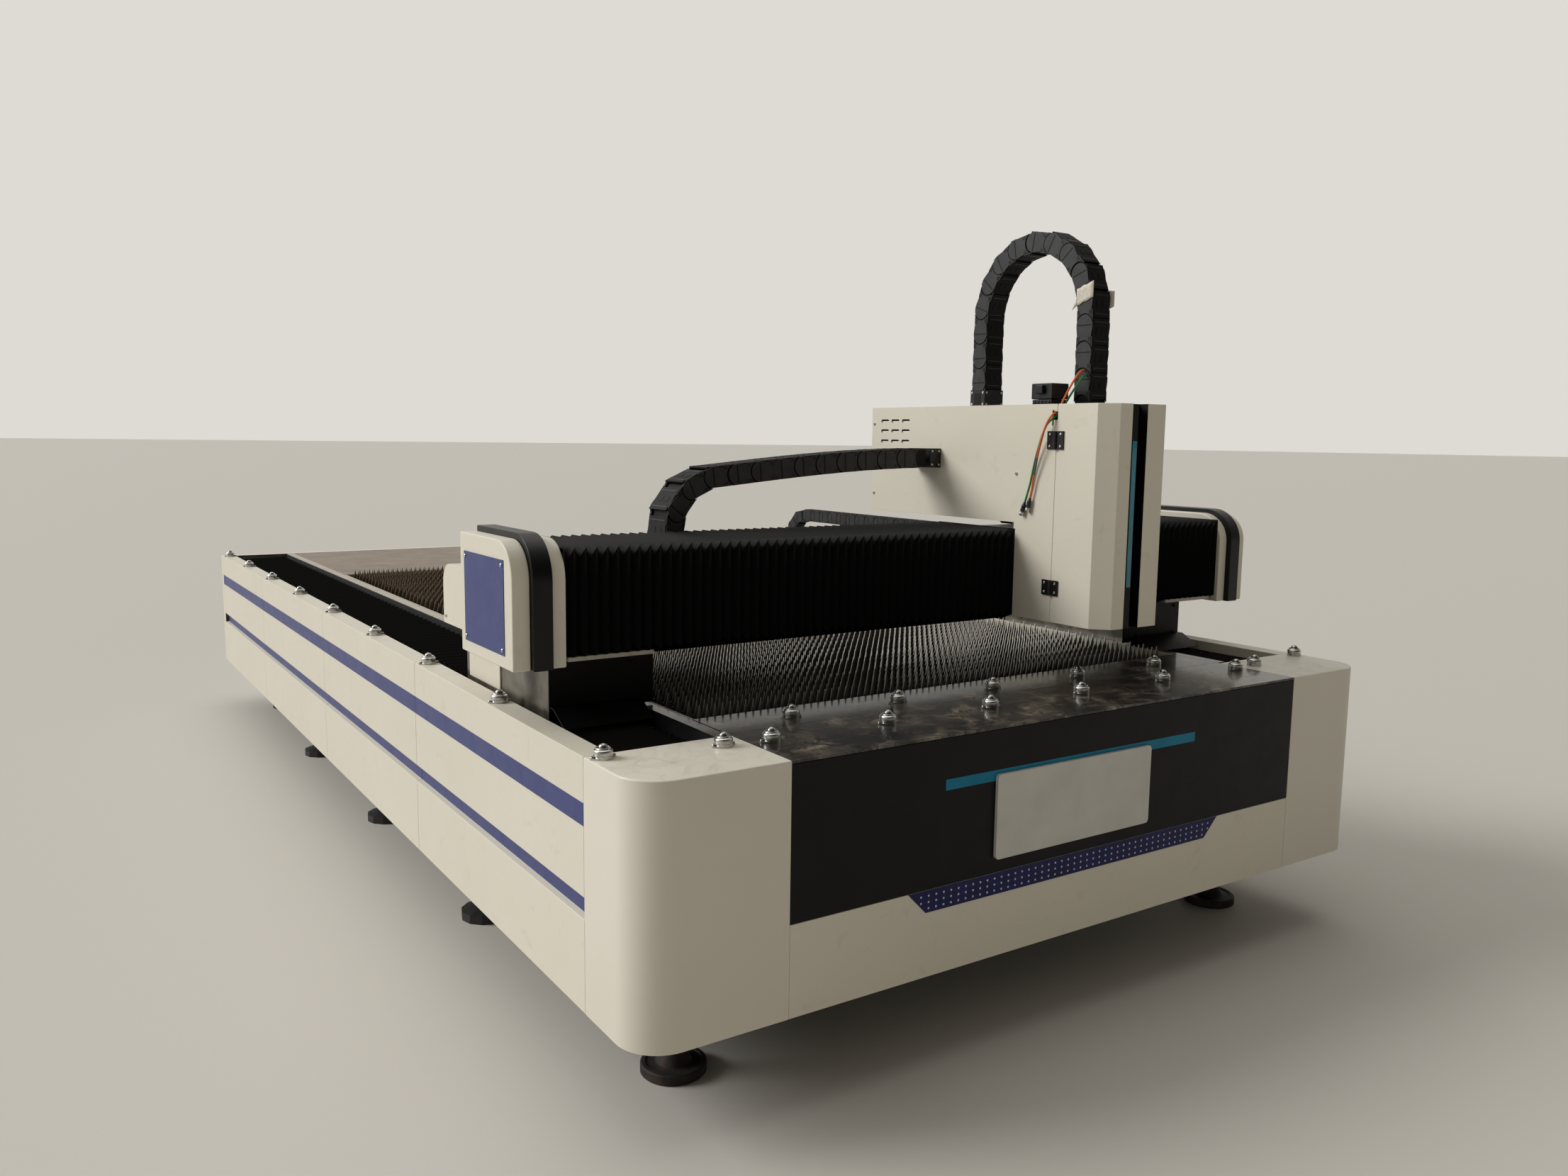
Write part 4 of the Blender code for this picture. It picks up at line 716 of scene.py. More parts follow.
one_slat = bmesh.new()
tooth = [(0.0, -0.120), (TOOTH_PITCH, -0.120), (TOOTH_PITCH, -0.0120), (0.0178, -0.0115), (0.0144, 0.0000),
         (0.0119, 0.0130), (0.0108, 0.0220), (0.0097, 0.0220), (0.0086, 0.0130), (0.0061, 0.0000),
         (0.0027, -0.0115), (0.0, -0.0120)]
cell = one_slat.faces.new([one_slat.verts.new((x, -0.0015, z)) for x, z in tooth])
teeth = int((SLAT_RIGHT - SLAT_LEFT) / TOOTH_PITCH)
first = list(cell.verts) + list(cell.edges) + [cell]
for i in range(1, teeth):
    drawn_out(one_slat, bmesh.ops.duplicate(one_slat, geom=first), (TOOTH_PITCH * i, 0, 0))
bmesh.ops.remove_doubles(one_slat, verts=one_slat.verts[:], dist=1e-5)
drawn_out(one_slat, bmesh.ops.extrude_face_region(one_slat, geom=one_slat.faces[:]), (0, SHEET, 0))
bmesh.ops.recalc_face_normals(one_slat, faces=one_slat.faces[:])
slat_mesh = bpy.data.meshes.new("slat")
one_slat.to_mesh(slat_mesh)
one_slat.free()

SLAT_PITCH, FIRST_COMB = 0.05, 0.405
chance = random.Random(7)
slat_start = (SLAT_LEFT + SLAT_RIGHT - teeth * TOOTH_PITCH) / 2
for part, rows in [("front", range(0, 32)), ("rear", range(32, 63))]:
    shape = bmesh.new()
    for row in rows:
        y = FIRST_COMB + (row + 0.5) * SLAT_PITCH
        lean = Matrix.Rotation(math.radians(chance.uniform(-0.35, 0.35)), 4, "X")
        slip = Matrix.Translation((slat_start + chance.uniform(-0.0012, 0.0012), y,
                                   chance.uniform(-0.0008, 0.0)))
        stamp(shape, slat_mesh, slip @ lean)
    piece(f"slats_{part}", shape, [slat_steel], "bed", ["slat_bed"] if part == "front" else (),
          (MIDDLE_X, 2.0, -8.0), sharp=20, slot="cut_steel")

# Primer on the comb rails is a flat pale grey, chipped darker in spots of about 30 mm.
worn_grey = mottled(
    "worn_grey_primer", {"Scale": 34.0, "Detail": 8.0, "Roughness": 0.7},
    [(0.30, "#8E887B"), (0.44, "#AFA99B"), (0.75, "#BFB9AA")], {"Roughness": 0.5}, relief=(0.2, 0.0005))
COMB_FRONT, COMB_REAR = 0.4003, 3.5597
shape = bmesh.new()
for low, high in ((0.3340, 0.3390), (1.9610, 1.9660)):
    block(shape, (low, COMB_FRONT, -0.135), (high, COMB_REAR, 0.0))
for low, high in ((0.3390, 0.3667), (1.9333, 1.9610)):
    block(shape, (low, COMB_FRONT, -0.135), (high, COMB_REAR, -0.121))
for low, high in ((COMB_FRONT, 0.4043), (3.5557, COMB_REAR)):
    block(shape, (0.3640, low, -0.130), (1.9360, high, -0.035))
for row in range(64):
    y = FIRST_COMB + row * SLAT_PITCH
    for x in (0.3390, 1.9393):
        block(shape, (x, y - 0.020 if row else y, -0.121), (x + 0.0217, y + 0.0200, -0.020))
piece("comb_rails", shape, [worn_grey], "bed", slot="cut_steel")
shape = bmesh.new()
for low, high in ((0.3010, 0.3330), (1.9670, 1.9990)):
    block(shape, (low, 0.2450, -0.0030), (high, 0.8000, -0.0004))
    block(shape, (low, 0.8003, -0.0030), (high, 4.6380, -0.0004), 1)
piece("trough_edge_strips", shape, [hot_rolled, worn_grey], "bed", edge=0.0006, slot="frame_paint")


# Rear end. A plate of folded sheet closes the table behind the slats, where parts are put down, and the rear
# panel is a shallow white tray. Both are powder coated.

# Shop dust lies on the plate's grey coat in warm dull clouds, with darker streaks where parts were dragged.
dusty_coat, tree, shader, place = finish_for("dusty_powder_coat")
settled = add(tree, "TexNoise", {"Vector": place, "Scale": 9.0, "Detail": 10.0, "Roughness": 0.72})
tone = add(tree, "ValToRGB", {0: settled.outputs["Fac"]},
           [(0.30, "#796E61"), (0.50, "#85796A"), (0.72, "#94887A")])
rubbed = add(tree, "Mapping", {"Vector": place, "Scale": (60.0, 3.0, 1.0), "Rotation": (0, 0, 0.5)})
streak = add(tree, "TexNoise", {"Vector": rubbed.outputs[0], "Scale": 1.0, "Detail": 4.0})
wiped = add(tree, "MapRange", {"Value": streak.outputs["Fac"], "From Min": 0.60, "From Max": 0.75,
                               "To Max": 0.4})
colour = add(tree, "Mix", {0: wiped.outputs[0], 6: tone.outputs[0], 7: "#5A5046"}, data_type="RGBA")
bump = add(tree, "Bump", {"Height": settled.outputs["Fac"], "Strength": 0.15, "Distance": 0.0006})
feed(tree, shader, {"Base Color": colour.outputs[2], "Roughness": 0.6, "Normal": bump.outputs[0]})
shape = bmesh.new()
pressed(shape, [(3.5603, -0.030), (3.5603, 0.0), (4.6497, 0.0)], 0, FRONT_LEFT, FRONT_RIGHT)
piece("rear_table_sheet", shape, [dusty_coat], "bed", ["rear_table_plate"], (MIDDLE_X, 4.4, -2.0), wall=SHEET,
      edge=0.0015, slot="white_paint")

shape = bmesh.new()
block(shape, (0.0, 4.6503, COVER_FOOT), (2.30, 4.70, 0.0))
open_side = [f for f in shape.faces if f.calc_center_median().y < 4.651]
bmesh.ops.delete(shape, geom=open_side, context="FACES_ONLY")
piece("rear_panel_sheet", shape, [white_coat], "bed", ["rear_panel"], (MIDDLE_X, 4.60, -0.27), wall=SHEET,
      edge=0.0022, slot="white_paint")


# Y bellows. Welded PVC-coated nylon covers the guide rail and rack in each side trough, in pleats 50 mm long
# that open and close as the gantry runs. In front of it the folds lie almost flat, one over the next.

# The coated cloth is matt and nearly black. The crests of its top folds are painted paler, partly as dust and
# partly as a painted highlight. The nylon's threads are 0.4 mm apart. They are drawn 1.5 mm apart, so that the
# weave still shows.
bellows_cloth, tree, shader, place = finish_for("pvc_coated_nylon")
lint = add(tree, "TexNoise", {"Vector": place, "Scale": 16.0, "Detail": 8.0, "Roughness": 0.7})
tone = add(tree, "ValToRGB", {0: lint.outputs["Fac"]},
           [(0.35, "#040405"), (0.65, "#070708"), (0.85, "#121110")])
fold = add(tree, "Attribute", attribute_name="fold").outputs["Fac"]
# The top crests are painted paler: partly dust, partly a painted highlight.
crest = add(tree, "MapRange", {"Value": fold, "From Min": 0.70, "From Max": 1.0, "To Max": 0.55})
crest_dust_and_highlight = add(tree, "Mix", {0: crest.outputs[0], 6: tone.outputs[0], 7: "#2A2A29"}, data_type="RGBA")
weave = add(tree, "TexNoise", {"Vector": place, "Scale": 650.0, "Detail": 2.0})
bump = add(tree, "Bump", {"Height": weave.outputs["Fac"], "Strength": 0.2, "Distance": 0.0004})
feed(tree, shader, {"Base Color": crest_dust_and_highlight.outputs[2], "Roughness": 0.60, "Specular IOR Level": 0.08,
                    "Normal": bump.outputs[0]})


def pleated(shape, lines, folds, start, stop, axis, lean=0.5):
    """Pleats. Each line holds a point of the cross-section on a peak and one in a valley.

    lean says how far along its pitch a valley lies, so half is an upright fold and 0.9 one that lies flat."""
    pitch = (stop - start) / folds
    fold = shape.verts.layers.float.new("fold")
    # Peaks near the top are marked as crests, which the cloth paints paler: dust and a painted highlight.
    crest_from = max(peak[1] for peak, valley in lines) - 0.012
    rings = []
    for i in range(2 * folds + 1):
        along = start + pitch * (i // 2 + (lean if i % 2 else 0.0))
        ring = []
        for peak, valley in lines:
            spot = list(valley if i % 2 else peak)
            spot.insert(axis, along)
            ring.append(shape.verts.new(spot))
            ring[-1][fold] = 1.0 if (i % 2 == 0 or lean > 0.7) and peak[1] > crest_from else 0.0
        rings.append(ring)
    for before, after in zip(rings, rings[1:]):
        for i in range(len(lines) - 1):
            shape.faces.new((before[i], before[i + 1], after[i + 1], after[i]))


def with_real_wall(made):
    """Makes the wall part of the mesh, so that the cloth would keep its thickness if it were stretched."""
    solid = bpy.data.meshes.new_from_object(made.evaluated_get(bpy.context.evaluated_depsgraph_get()))
    made.modifiers.clear()
    made.data = solid
    solid.name = made.name
    return made


Y_SECTION = [((0.090, -0.105), (0.090, -0.105)), ((0.090, -0.012), (0.106, -0.048)),
             ((0.286, -0.012), (0.270, -0.048)), ((0.286, -0.105), (0.286, -0.105))]
Y_FLAT_SECTION = [((0.092, -0.080), (0.092, -0.080)), ((0.092, -0.028), (0.094, -0.035)),
                  ((0.285, -0.028), (0.283, -0.035)), ((0.285, -0.080), (0.285, -0.080))]
for part, y_low, y_high, y_end, folds, section, lean, bodies in [
    ("front", 0.2400, 0.5700, 0.5894, 12, Y_FLAT_SECTION, 0.9, ("bed", "gantry")),
    ("rear", 1.1473, 4.6400, 4.6400, 70, Y_SECTION, 0.5, ("gantry", "bed")),
]:
    shape = bmesh.new()
    pleated(shape, section, folds, y_low, y_high, 1, lean)
    left = with_real_wall(piece(f"y_bellows_{part}_left_cloth", shape, [bellows_cloth],
                                inside=(0.18, (y_low + y_high) / 2, -1.0), wall=0.0015, sharp=20))
    right = set_up(f"y_bellows_{part}_right_cloth", mirrored(left), [bellows_cloth], sharp=20)
    for made, side in ((left, "left"), (right, "right")):
        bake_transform(made)
        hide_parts(f"y_bellows_{part}_{side}")


# Gantry beam and saddles. A welded box beam bridges the bed on two saddles, bolted to the bearing blocks. Each
# saddle has a ground steel side, a white plate behind it, a black plate and a wiper in front.

# Grinding gives mild steel a bright grain along the way of the wheel, drawn 2.4 mm apart so that it shows.
# Oily hands have dulled it, and left one black smudge of 60 mm.
ground_steel, tree, shader, place = finish_for("ground_mild_steel")
grinding = add(tree, "Mapping", {"Vector": place, "Scale": (1.0, 14.0, 420.0)})
lines = add(tree, "TexNoise", {"Vector": grinding.outputs[0], "Scale": 1.0, "Detail": 3.0})
hand = add(tree, "TexNoise", {"Vector": place, "Scale": 18.0, "Detail": 6.0, "Distortion": 0.8})
tone = add(tree, "ValToRGB", {0: hand.outputs["Fac"]}, [(0.3, "#66635D"), (0.7, "#8F8B82")])
smudge = add(tree, "VectorMath", {0: place, 1: (-1.075, -1.655, 0.823)}, operation="DISTANCE")
ragged = add(tree, "Math", {0: hand.outputs["Fac"], 1: 0.05}, operation="MULTIPLY")
reach = add(tree, "Math", {0: smudge.outputs["Value"], 1: ragged.outputs[0]}, operation="SUBTRACT")
dark = add(tree, "MapRange", {"Value": reach.outputs[0], "From Min": 0.030, "From Max": -0.005, "To Max": 0.8})
colour = add(tree, "Mix", {0: dark.outputs[0], 6: tone.outputs[0], 7: "#191817"}, data_type="RGBA")
rough = add(tree, "MapRange", {"Value": hand.outputs["Fac"], "From Min": 0.3, "From Max": 0.7, "To Min": 0.26,
                               "To Max": 0.42})
bump = add(tree, "Bump", {"Height": lines.outputs["Fac"], "Strength": 0.08, "Distance": 0.0004})
feed(tree, shader, {"Base Color": colour.outputs[2], "Metallic": 0.9, "Roughness": rough.outputs[0],
                    "Normal": bump.outputs[0]})
coat("gantry_beam", white_coat)
coat("x_pinion", zinc_plate)
for side in ("left", "right"):
    coat(f"y_pinion_{side}", zinc_plate)
    coat(f"saddle_{side}", ground_steel)

shape = bmesh.new()
outline = [(0.075, -0.085), (0.297, -0.085), (0.297, 0.004), (0.335, 0.004), (0.335, 0.130), (0.075, 0.130)]
slab(shape, [(x, 0.5897, z) for x, z in outline], (0, 0.003, 0))
for x in (0.100, 0.272):
    for z in (0.022, 0.108):
        turned(shape, [(0.0055, 0.0), (0.0055, 0.0022), (0.0042, 0.0036), (0.0024, 0.0036), (0.0024, 0.0016),
                       (0.0, 0.0016)], (x, 0.5897, z), (0, -1, 0), 14)
both_sides("saddle_front_plate", shape, [black_coat], "gantry", ["saddle_cover"], edge=0.0006,
           slot="black_paint")
shape = bmesh.new()
block(shape, (0.075, 0.4790, 0.1405), (0.281, 0.5045, 0.1500))
both_sides("saddle_head_strip", shape, [worn_grey], "gantry", edge=0.0010, slot="white_paint")

shape = bmesh.new()
pressed(shape, [(0.5880, 0.020), (0.5700, 0.020), (0.5060, -0.014)], 0, 0.076, 0.296)
both_sides("way_wiper", shape, [black_coat], "gantry", inside=(0.18, 0.56, -2.0), wall=0.002, edge=0.0008,
           slot="black_paint")

shape = bmesh.new()
block(shape, (0.0735, 0.897, 0.0020), (0.0768, 1.120, 0.1310))
block(shape, (0.0742, 0.897, -0.0480), (0.0768, 1.120, 0.0015), 1)
both_sides("saddle_side_plate", shape, [white_coat, ground_steel], "gantry", edge=0.0008, slot="white_paint")


# Drive covers. Each Y motor and its gearbox sit under a white box of welded sheet with a rounded rear edge and
# three screws. The right one carries the arm that the Y chain is bolted to.
shape = bmesh.new()
slab(shape, [(0.020, y, z) for y, z in [(0.895, 0.1403), (0.895, 0.296), (1.154, 0.296), (1.154, 0.1403)]],
     (0.277, 0, 0))
rear_top = [e for e in shape.edges if all(v.co.y > 1.15 and v.co.z > 0.29 for v in e.verts)]
bmesh.ops.bevel(shape, geom=rear_top, offset=0.050, segments=8, profile=0.5, affect="EDGES", material=-1)
turned(shape, [(0.0, -0.078), (0.034, -0.078), (0.036, -0.076), (0.036, 0.140), (0.0, 0.140)],
       (0.2214, 1.000, 0.0), steps=32)
for y, z in ((0.915, 0.160), (0.915, 0.276), (1.134, 0.160)):
    turned(shape, [(0.0050, 0.0), (0.0050, 0.0020), (0.0038, 0.0032), (0.0, 0.0032)],
           (0.020, y, z), (-1, 0, 0), 14, 1)
both_sides("drive_cover", shape, [white_coat, zinc_plate], "gantry", ["y_drive"], edge=0.0025,
           slot="white_paint")
shape = bmesh.new()
block(shape, (2.276, 1.095, 0.228), (2.303, 1.150, 0.288))
piece("chain_arm", shape, [black_coat], "gantry", edge=0.0015, slot="black_paint")


# End caps. Each beam end is closed by a white cap in two halves, folded and welded with a rounded upper
# corner, and a black rubber band between them. The outer face carries a blue sheet on four screws.

# Rubber is nearly black, with a greyish bloom and a soft shine.
rubber = mottled("black_rubber", {"Scale": 20.0, "Detail": 6.0}, [(0.3, "#08080A"), (0.75, "#111113")],
                 {"Roughness": 0.36, "Specular IOR Level": 0.3})
CAP_REAR = 0.781


def cap_slab(shape, x_low, x_high, front, bottom, top, radius):
    """A slab with the side view of the cap, its upper front corner rounded."""
    outline = [(front, bottom), (front, top), (CAP_REAR, top), (CAP_REAR, bottom)]
    points = slab(shape, [(x_low, y, z) for y, z in outline], (x_high - x_low, 0, 0))
    corner = [e for e in {e for v in points for e in v.link_edges}
              if all(v.co.y < front + 1e-4 and v.co.z > top - 1e-4 for v in e.verts)]
    bmesh.ops.bevel(shape, geom=corner, offset=radius, segments=12, profile=0.5, affect="EDGES", material=-1)


shape = bmesh.new()
cap_slab(shape, -0.0563, -0.0165, 0.459, 0.1334, 0.405, 0.085)
cap_slab(shape, 0.0285, 0.0633, 0.459, 0.1334, 0.405, 0.085)
both_sides("end_cap_shell", shape, [white_coat], "gantry", ["end_cap"], edge=0.003, slot="white_paint")
shape = bmesh.new()
cap_slab(shape, -0.0162, 0.0282, 0.444, 0.1330, 0.418, 0.098)
both_sides("cap_band_rubber", shape, [rubber], "gantry", ["cap_band"], edge=0.002, slot="black_paint")
shape = bmesh.new()
block(shape, (-0.0578, 0.503, 0.161), (-0.0564, 0.751, 0.364))
for y in (0.513, 0.741):
    for z in (0.172, 0.353):
        turned(shape, [(0.0042, 0.0), (0.0042, 0.0018), (0.0030, 0.0030), (0.0016, 0.0030), (0.0016, 0.0016),
                       (0.0, 0.0016)], (-0.0578, y, z), (-1, 0, 0), 14, 1)
both_sides("blue_cap_plate", shape, [blue_coat, zinc_plate], "gantry", slot="white_paint")


# X bellows. The same cloth hooks over the beam's front, top and lower edge, on both sides of the hood. Its
# folds are 25.5 mm long and end in a row of triangles along the upper edge, where the valleys are cut at 45
# degrees.
X_SECTION = [((0.503, 0.1402), (0.503, 0.1402)), ((0.470, 0.1530), (0.4815, 0.1640)),
             ((0.470, 0.388), (0.4815, 0.3600)), ((0.502, 0.388), (0.508, 0.3770)),
             ((0.782, 0.388), (0.782, 0.3770))]
for part, x_low, x_high, folds, bodies in [("left", 0.0636, 1.3697, 51, ("gantry", "carriage")),
                                           ("right", 1.6053, 2.2364, 25, ("carriage", "gantry"))]:
    shape = bmesh.new()
    pleated(shape, X_SECTION, folds, x_low, x_high, 0)
    made = with_real_wall(piece(f"x_bellows_{part}_cloth", shape, [bellows_cloth],
                                inside=((x_low + x_high) / 2, 0.7, 0.2), wall=0.0012, sharp=20))
    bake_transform(made)
    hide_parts(f"x_bellows_{part}")


# Hood. One sheet of 3 mm steel is folded round the carriage's left, top and right, and its rear wall is
# welded in. Nine slots are punched in the left wall, and the Z chain passes a notch in the top. It is powder
# coated white.
def edge_ring(shape, points):
    """The closed edge that a wall of sheet ends in, or that goes round a hole in it."""
    loop = [shape.verts.new(p) for p in points]
    return [shape.edges.new((loop[i - 1], loop[i])) for i in range(len(loop))]


def slot_ring(shape, x, y, z, half, radius):
    """The edge of a round-ended slot in the wall at x."""
    points = []
    for way in (1, -1):
        for turn in range(-90, 91, 20):
            angle = math.radians(turn)
            points.append((x, y + way * (half + radius * math.cos(angle)), z + way * radius * math.sin(angle)))
    return edge_ring(shape, points)


SEAM_Y, HOOD_REAR, REAR_FOOT = 0.3327, 1.112, 0.405
HOOD_LEFT, HOOD_RIGHT, HOOD_BOTTOM, HOOD_TOP = 1.370, 1.605, 0.150, 0.720
VENTS = [(y, z) for z in (0.679, 0.649, 0.618) for y in (1.048, 0.998, 0.948)]
shape = bmesh.new()
for x, opened in ((HOOD_LEFT, True), (HOOD_RIGHT, False)):
    front = [(SEAM_Y, HOOD_BOTTOM)]
    if opened:
        front += [(SEAM_Y, 0.664), (0.350, 0.664), (0.350, 0.704), (SEAM_Y, 0.704)]
    rest = [(SEAM_Y, HOOD_TOP), (HOOD_REAR, HOOD_TOP), (HOOD_REAR, REAR_FOOT), (0.476, REAR_FOOT),
            (0.476, HOOD_BOTTOM)]
    rings = edge_ring(shape, [(x, y, z) for y, z in front + rest])
    if opened:
        for y, z in VENTS:
            rings += slot_ring(shape, x, y, z, 0.014, 0.005)
    bmesh.ops.triangle_fill(shape, use_beauty=True, use_dissolve=True, edges=rings)
top_edge = edge_ring(shape, [(x, y, HOOD_TOP) for x, y in
                             [(HOOD_LEFT, SEAM_Y), (1.384, SEAM_Y), (1.384, 0.455), (1.566, 0.455),
                              (1.566, SEAM_Y), (HOOD_RIGHT, SEAM_Y), (HOOD_RIGHT, HOOD_REAR),
                              (HOOD_LEFT, HOOD_REAR)]])
bmesh.ops.triangle_fill(shape, use_beauty=True, use_dissolve=True, edges=top_edge)
rear_edge = edge_ring(shape, [(HOOD_LEFT, HOOD_REAR, HOOD_TOP), (HOOD_RIGHT, HOOD_REAR, HOOD_TOP),
                              (HOOD_RIGHT, HOOD_REAR, REAR_FOOT), (HOOD_LEFT, HOOD_REAR, REAR_FOOT)])
bmesh.ops.contextual_create(shape, geom=rear_edge)
bmesh.ops.remove_doubles(shape, verts=shape.verts[:], dist=1e-5)
centre = Vector((1.4875, 0.75, 0.5))
for face in shape.faces:
    face.normal_update()
    if face.normal.dot(face.calc_center_median() - centre) < 0:
        face.normal_flip()
piece("hood_sheet", shape, [white_coat], "carriage", ["hood"], centre, wall=SHEET, edge=0.0016, sharp=30,
      slot="white_paint")

shape = bmesh.new()
for y, z in VENTS:
    block(shape, (1.3740, y - 0.020, z - 0.0070), (1.3752, y + 0.020, z + 0.0002))
for low, high in ((HOOD_BOTTOM + 0.004, 0.679), (0.701, HOOD_TOP - 0.004)):
    block(shape, (1.3712, 0.3308, low), (1.3760, 0.3450, high))
    block(shape, (1.5990, 0.3308, low), (1.6038, 0.3450, high))
piece("hood_flanges_and_lips", shape, [white_coat], "carriage", slot="white_paint")

shape = bmesh.new()
SCREW = [(0.0048, 0.0), (0.0048, 0.0016), (0.0038, 0.0028), (0.0020, 0.0028), (0.0020, 0.0012), (0.0, 0.0012)]
for y, z in ((1.100, 0.671), (1.097, 0.458), (0.472, 0.536)):
    turned(shape, SCREW, (HOOD_LEFT, y, z), (-1, 0, 0), 14)
    turned(shape, SCREW, (HOOD_RIGHT, y, z), (1, 0, 0), 14)
piece("hood_screws", shape, [zinc_plate], "carriage", slot="cut_steel")


# Hinges. Two black steel hinges hold the door on the left. Each leaf has two bright screws, and the knuckles
# stand on the seam.

# Black zinc on steel is dark and slightly metallic, rubbed a little paler by hands.
hinge_steel = mottled("black_zinc_hinge_steel", {"Scale": 120.0, "Detail": 5.0},
                      [(0.35, "#121213"), (0.75, "#262626")], {"Roughness": 0.35, "Metallic": 0.3})
fixed, swinging = bmesh.new(), bmesh.new()
LEAF_SCREW = [(0.0034, 0.0), (0.0034, 0.0010), (0.0026, 0.0020), (0.0014, 0.0020), (0.0014, 0.0010),
              (0.0, 0.0010)]
for low, high in ((0.603, 0.650), (0.222, 0.262)):
    block(fixed, (1.3660, 0.3365, low), (1.3697, 0.3610, high))
    block(swinging, (1.3660, 0.3050, low), (1.3697, 0.3265, high))
    length = (high - low) / 3
    for shape, foot, tall in ((fixed, low, length - 0.0004), (fixed, low + 2 * length, length),
                              (swinging, low + length, length - 0.0006)):
        turned(shape, [(0.0, 0.0), (0.0044, 0.0), (0.0044, tall), (0.0, tall)], (1.3645, 0.3315, foot),
               steps=16)
    block(fixed, (1.3650, 0.3320, low), (1.3690, 0.3370, low + length - 0.0004))
    block(fixed, (1.3650, 0.3320, low + 2 * length), (1.3690, 0.3370, high))
    block(swinging, (1.3650, 0.3260, low + length), (1.3690, 0.3310, low + 2 * length - 0.0006))
    for z in (low + 0.008, high - 0.008):
        turned(fixed, LEAF_SCREW, (1.3660, 0.3510, z), (-1, 0, 0), 12, 1)
        turned(swinging, LEAF_SCREW, (1.3660, 0.3140, z), (-1, 0, 0), 12, 1)
piece("hinge_leaves_hood", fixed, [hinge_steel, zinc_plate], "carriage",
      ["door_hinge_upper", "door_hinge_lower"], edge=0.0006, slot="black_paint")
piece("hinge_leaves_door", swinging, [hinge_steel, zinc_plate], "door", edge=0.0006, slot="black_paint")


# Door. A folded white shell with its corners chamfered closes the hood's front. A deep black channel runs down
# it, and holds a teal acrylic strip.
shape = bmesh.new()
DOOR_BACK, DOOR_FRONT = 0.3304, 0.155
plan = [(HOOD_LEFT, DOOR_BACK), (HOOD_LEFT, 0.197), (1.410, 0.157), (1.452, DOOR_FRONT), (1.452, 0.185),
        (1.508, 0.185), (1.508, DOOR_FRONT), (1.575, DOOR_FRONT), (HOOD_RIGHT, 0.185), (HOOD_RIGHT, DOOR_BACK)]
top = shape.faces.new([shape.verts.new((x, y, HOOD_TOP)) for x, y in plan])
folded_edges = [e for e in top.edges if not all(v.co.y > 0.32 for v in e.verts)]
drawn_out(shape, bmesh.ops.extrude_edge_only(shape, edges=folded_edges), (0, 0, HOOD_BOTTOM - HOOD_TOP))
piece("door_sheet", shape, [white_coat], "door", ["hood_door"], (1.48, 0.29, 0.2), wall=SHEET, edge=0.0020,
      sharp=30, slot="white_paint")
shape = bmesh.new()
pressed(shape, [(1.4523, 0.156), (1.4523, 0.1847), (1.5077, 0.1847), (1.5077, 0.156)],
        2, HOOD_BOTTOM, HOOD_TOP)
piece("door_channel_liner", shape, [black_coat], "door", ["door_channel"], (1.48, 0.9, 0.4), wall=0.002,
      edge=0.0006, slot="black_paint")
shape = bmesh.new()
block(shape, (1.4546, 0.1590, 0.1500), (1.4780, 0.1826, 0.7190))
piece("door_channel_step", shape, [black_coat], "door", edge=0.0010, slot="black_paint")
# Tinted acrylic is smooth and glossy, and its colour seems to lie a little below the surface.
teal_acrylic = mottled("teal_acrylic", {"Scale": 8.0, "Detail": 3.0}, [(0.3, "#0B6478"), (0.7, "#15809A")],
                       {"Roughness": 0.12, "Coat Weight": 0.4})
shape = bmesh.new()
block(shape, (1.4575, 0.1560, 0.256), (1.4735, 0.1588, 0.627))
piece("teal_bar_door", shape, [teal_acrylic], "door", edge=0.0010)


# Z motor. A black servo motor stands on the carriage under the hood's notch, with a ribbed body, a square rear
# cover and a round connector.

# Anodised aluminium is a dark, even grey-black with a soft metallic shine.
motor_paint = mottled("black_anodised_aluminium", {"Scale": 60.0, "Detail": 5.0},
                      [(0.35, "#141416"), (0.75, "#232427")], {"Metallic": 0.4, "Roughness": 0.38})
shape = bmesh.new()
block(shape, (1.386, 0.3700, 0.6003), (1.450, 0.4460, 0.6100))
block(shape, (1.389, 0.3730, 0.6100), (1.447, 0.4430, 0.7330))
for i in range(5):
    spot = 0.3790 + i * 0.0130
    block(shape, (1.3868, spot, 0.6160), (1.4492, spot + 0.0055, 0.7300))
    block(shape, (1.3930 + i * 0.0110, 0.3708, 0.6160), (1.3978 + i * 0.0110, 0.4452, 0.7300))
block(shape, (1.387, 0.3710, 0.7340), (1.449, 0.4450, 0.7750))
block(shape, (1.3762, 0.3960, 0.7480), (1.3875, 0.4200, 0.7700))
piece("z_motor_body", shape, [motor_paint], "carriage", ["z_motor"], edge=0.0022, slot="black_paint")


# Carriage, slide and head. Milled steel plates carry the Z axis, and the cutting head is a black anodised body
# over a chromed collar and a brass nozzle.

# Milled and oiled steel is a mid grey with a broad bright shine, and turned brass a clear yellow one.
milled_steel = mottled("milled_and_oiled_steel", {"Scale": 60.0, "Detail": 6.0},
                       [(0.3, "#5A5956"), (0.7, "#807E79")], {"Metallic": 0.9, "Roughness": 0.36})
brass = mottled("turned_brass", {"Scale": 300.0, "Detail": 3.0}, [(0.3, "#A8843C"), (0.7, "#C7A35A")],
                {"Metallic": 1.0, "Roughness": 0.25})
coat("carriage_plate", milled_steel)
coat("head_slide", milled_steel)
coat("z_ball_screw", zinc_plate)
HEAD_AXIS = (1.500, 0.375, 0.0)
shape = bmesh.new()
block(shape, (1.462, 0.336, 0.2625), (1.538, 0.4247, 0.470))
block(shape, (1.464, 0.3350, 0.300), (1.536, 0.3365, 0.440))
turned(shape, [(0.0, 0.2630), (0.0200, 0.2630), (0.0260, 0.2500), (0.0260, 0.2040), (0.0140, 0.2000)],
       HEAD_AXIS, steps=36, finish=1)
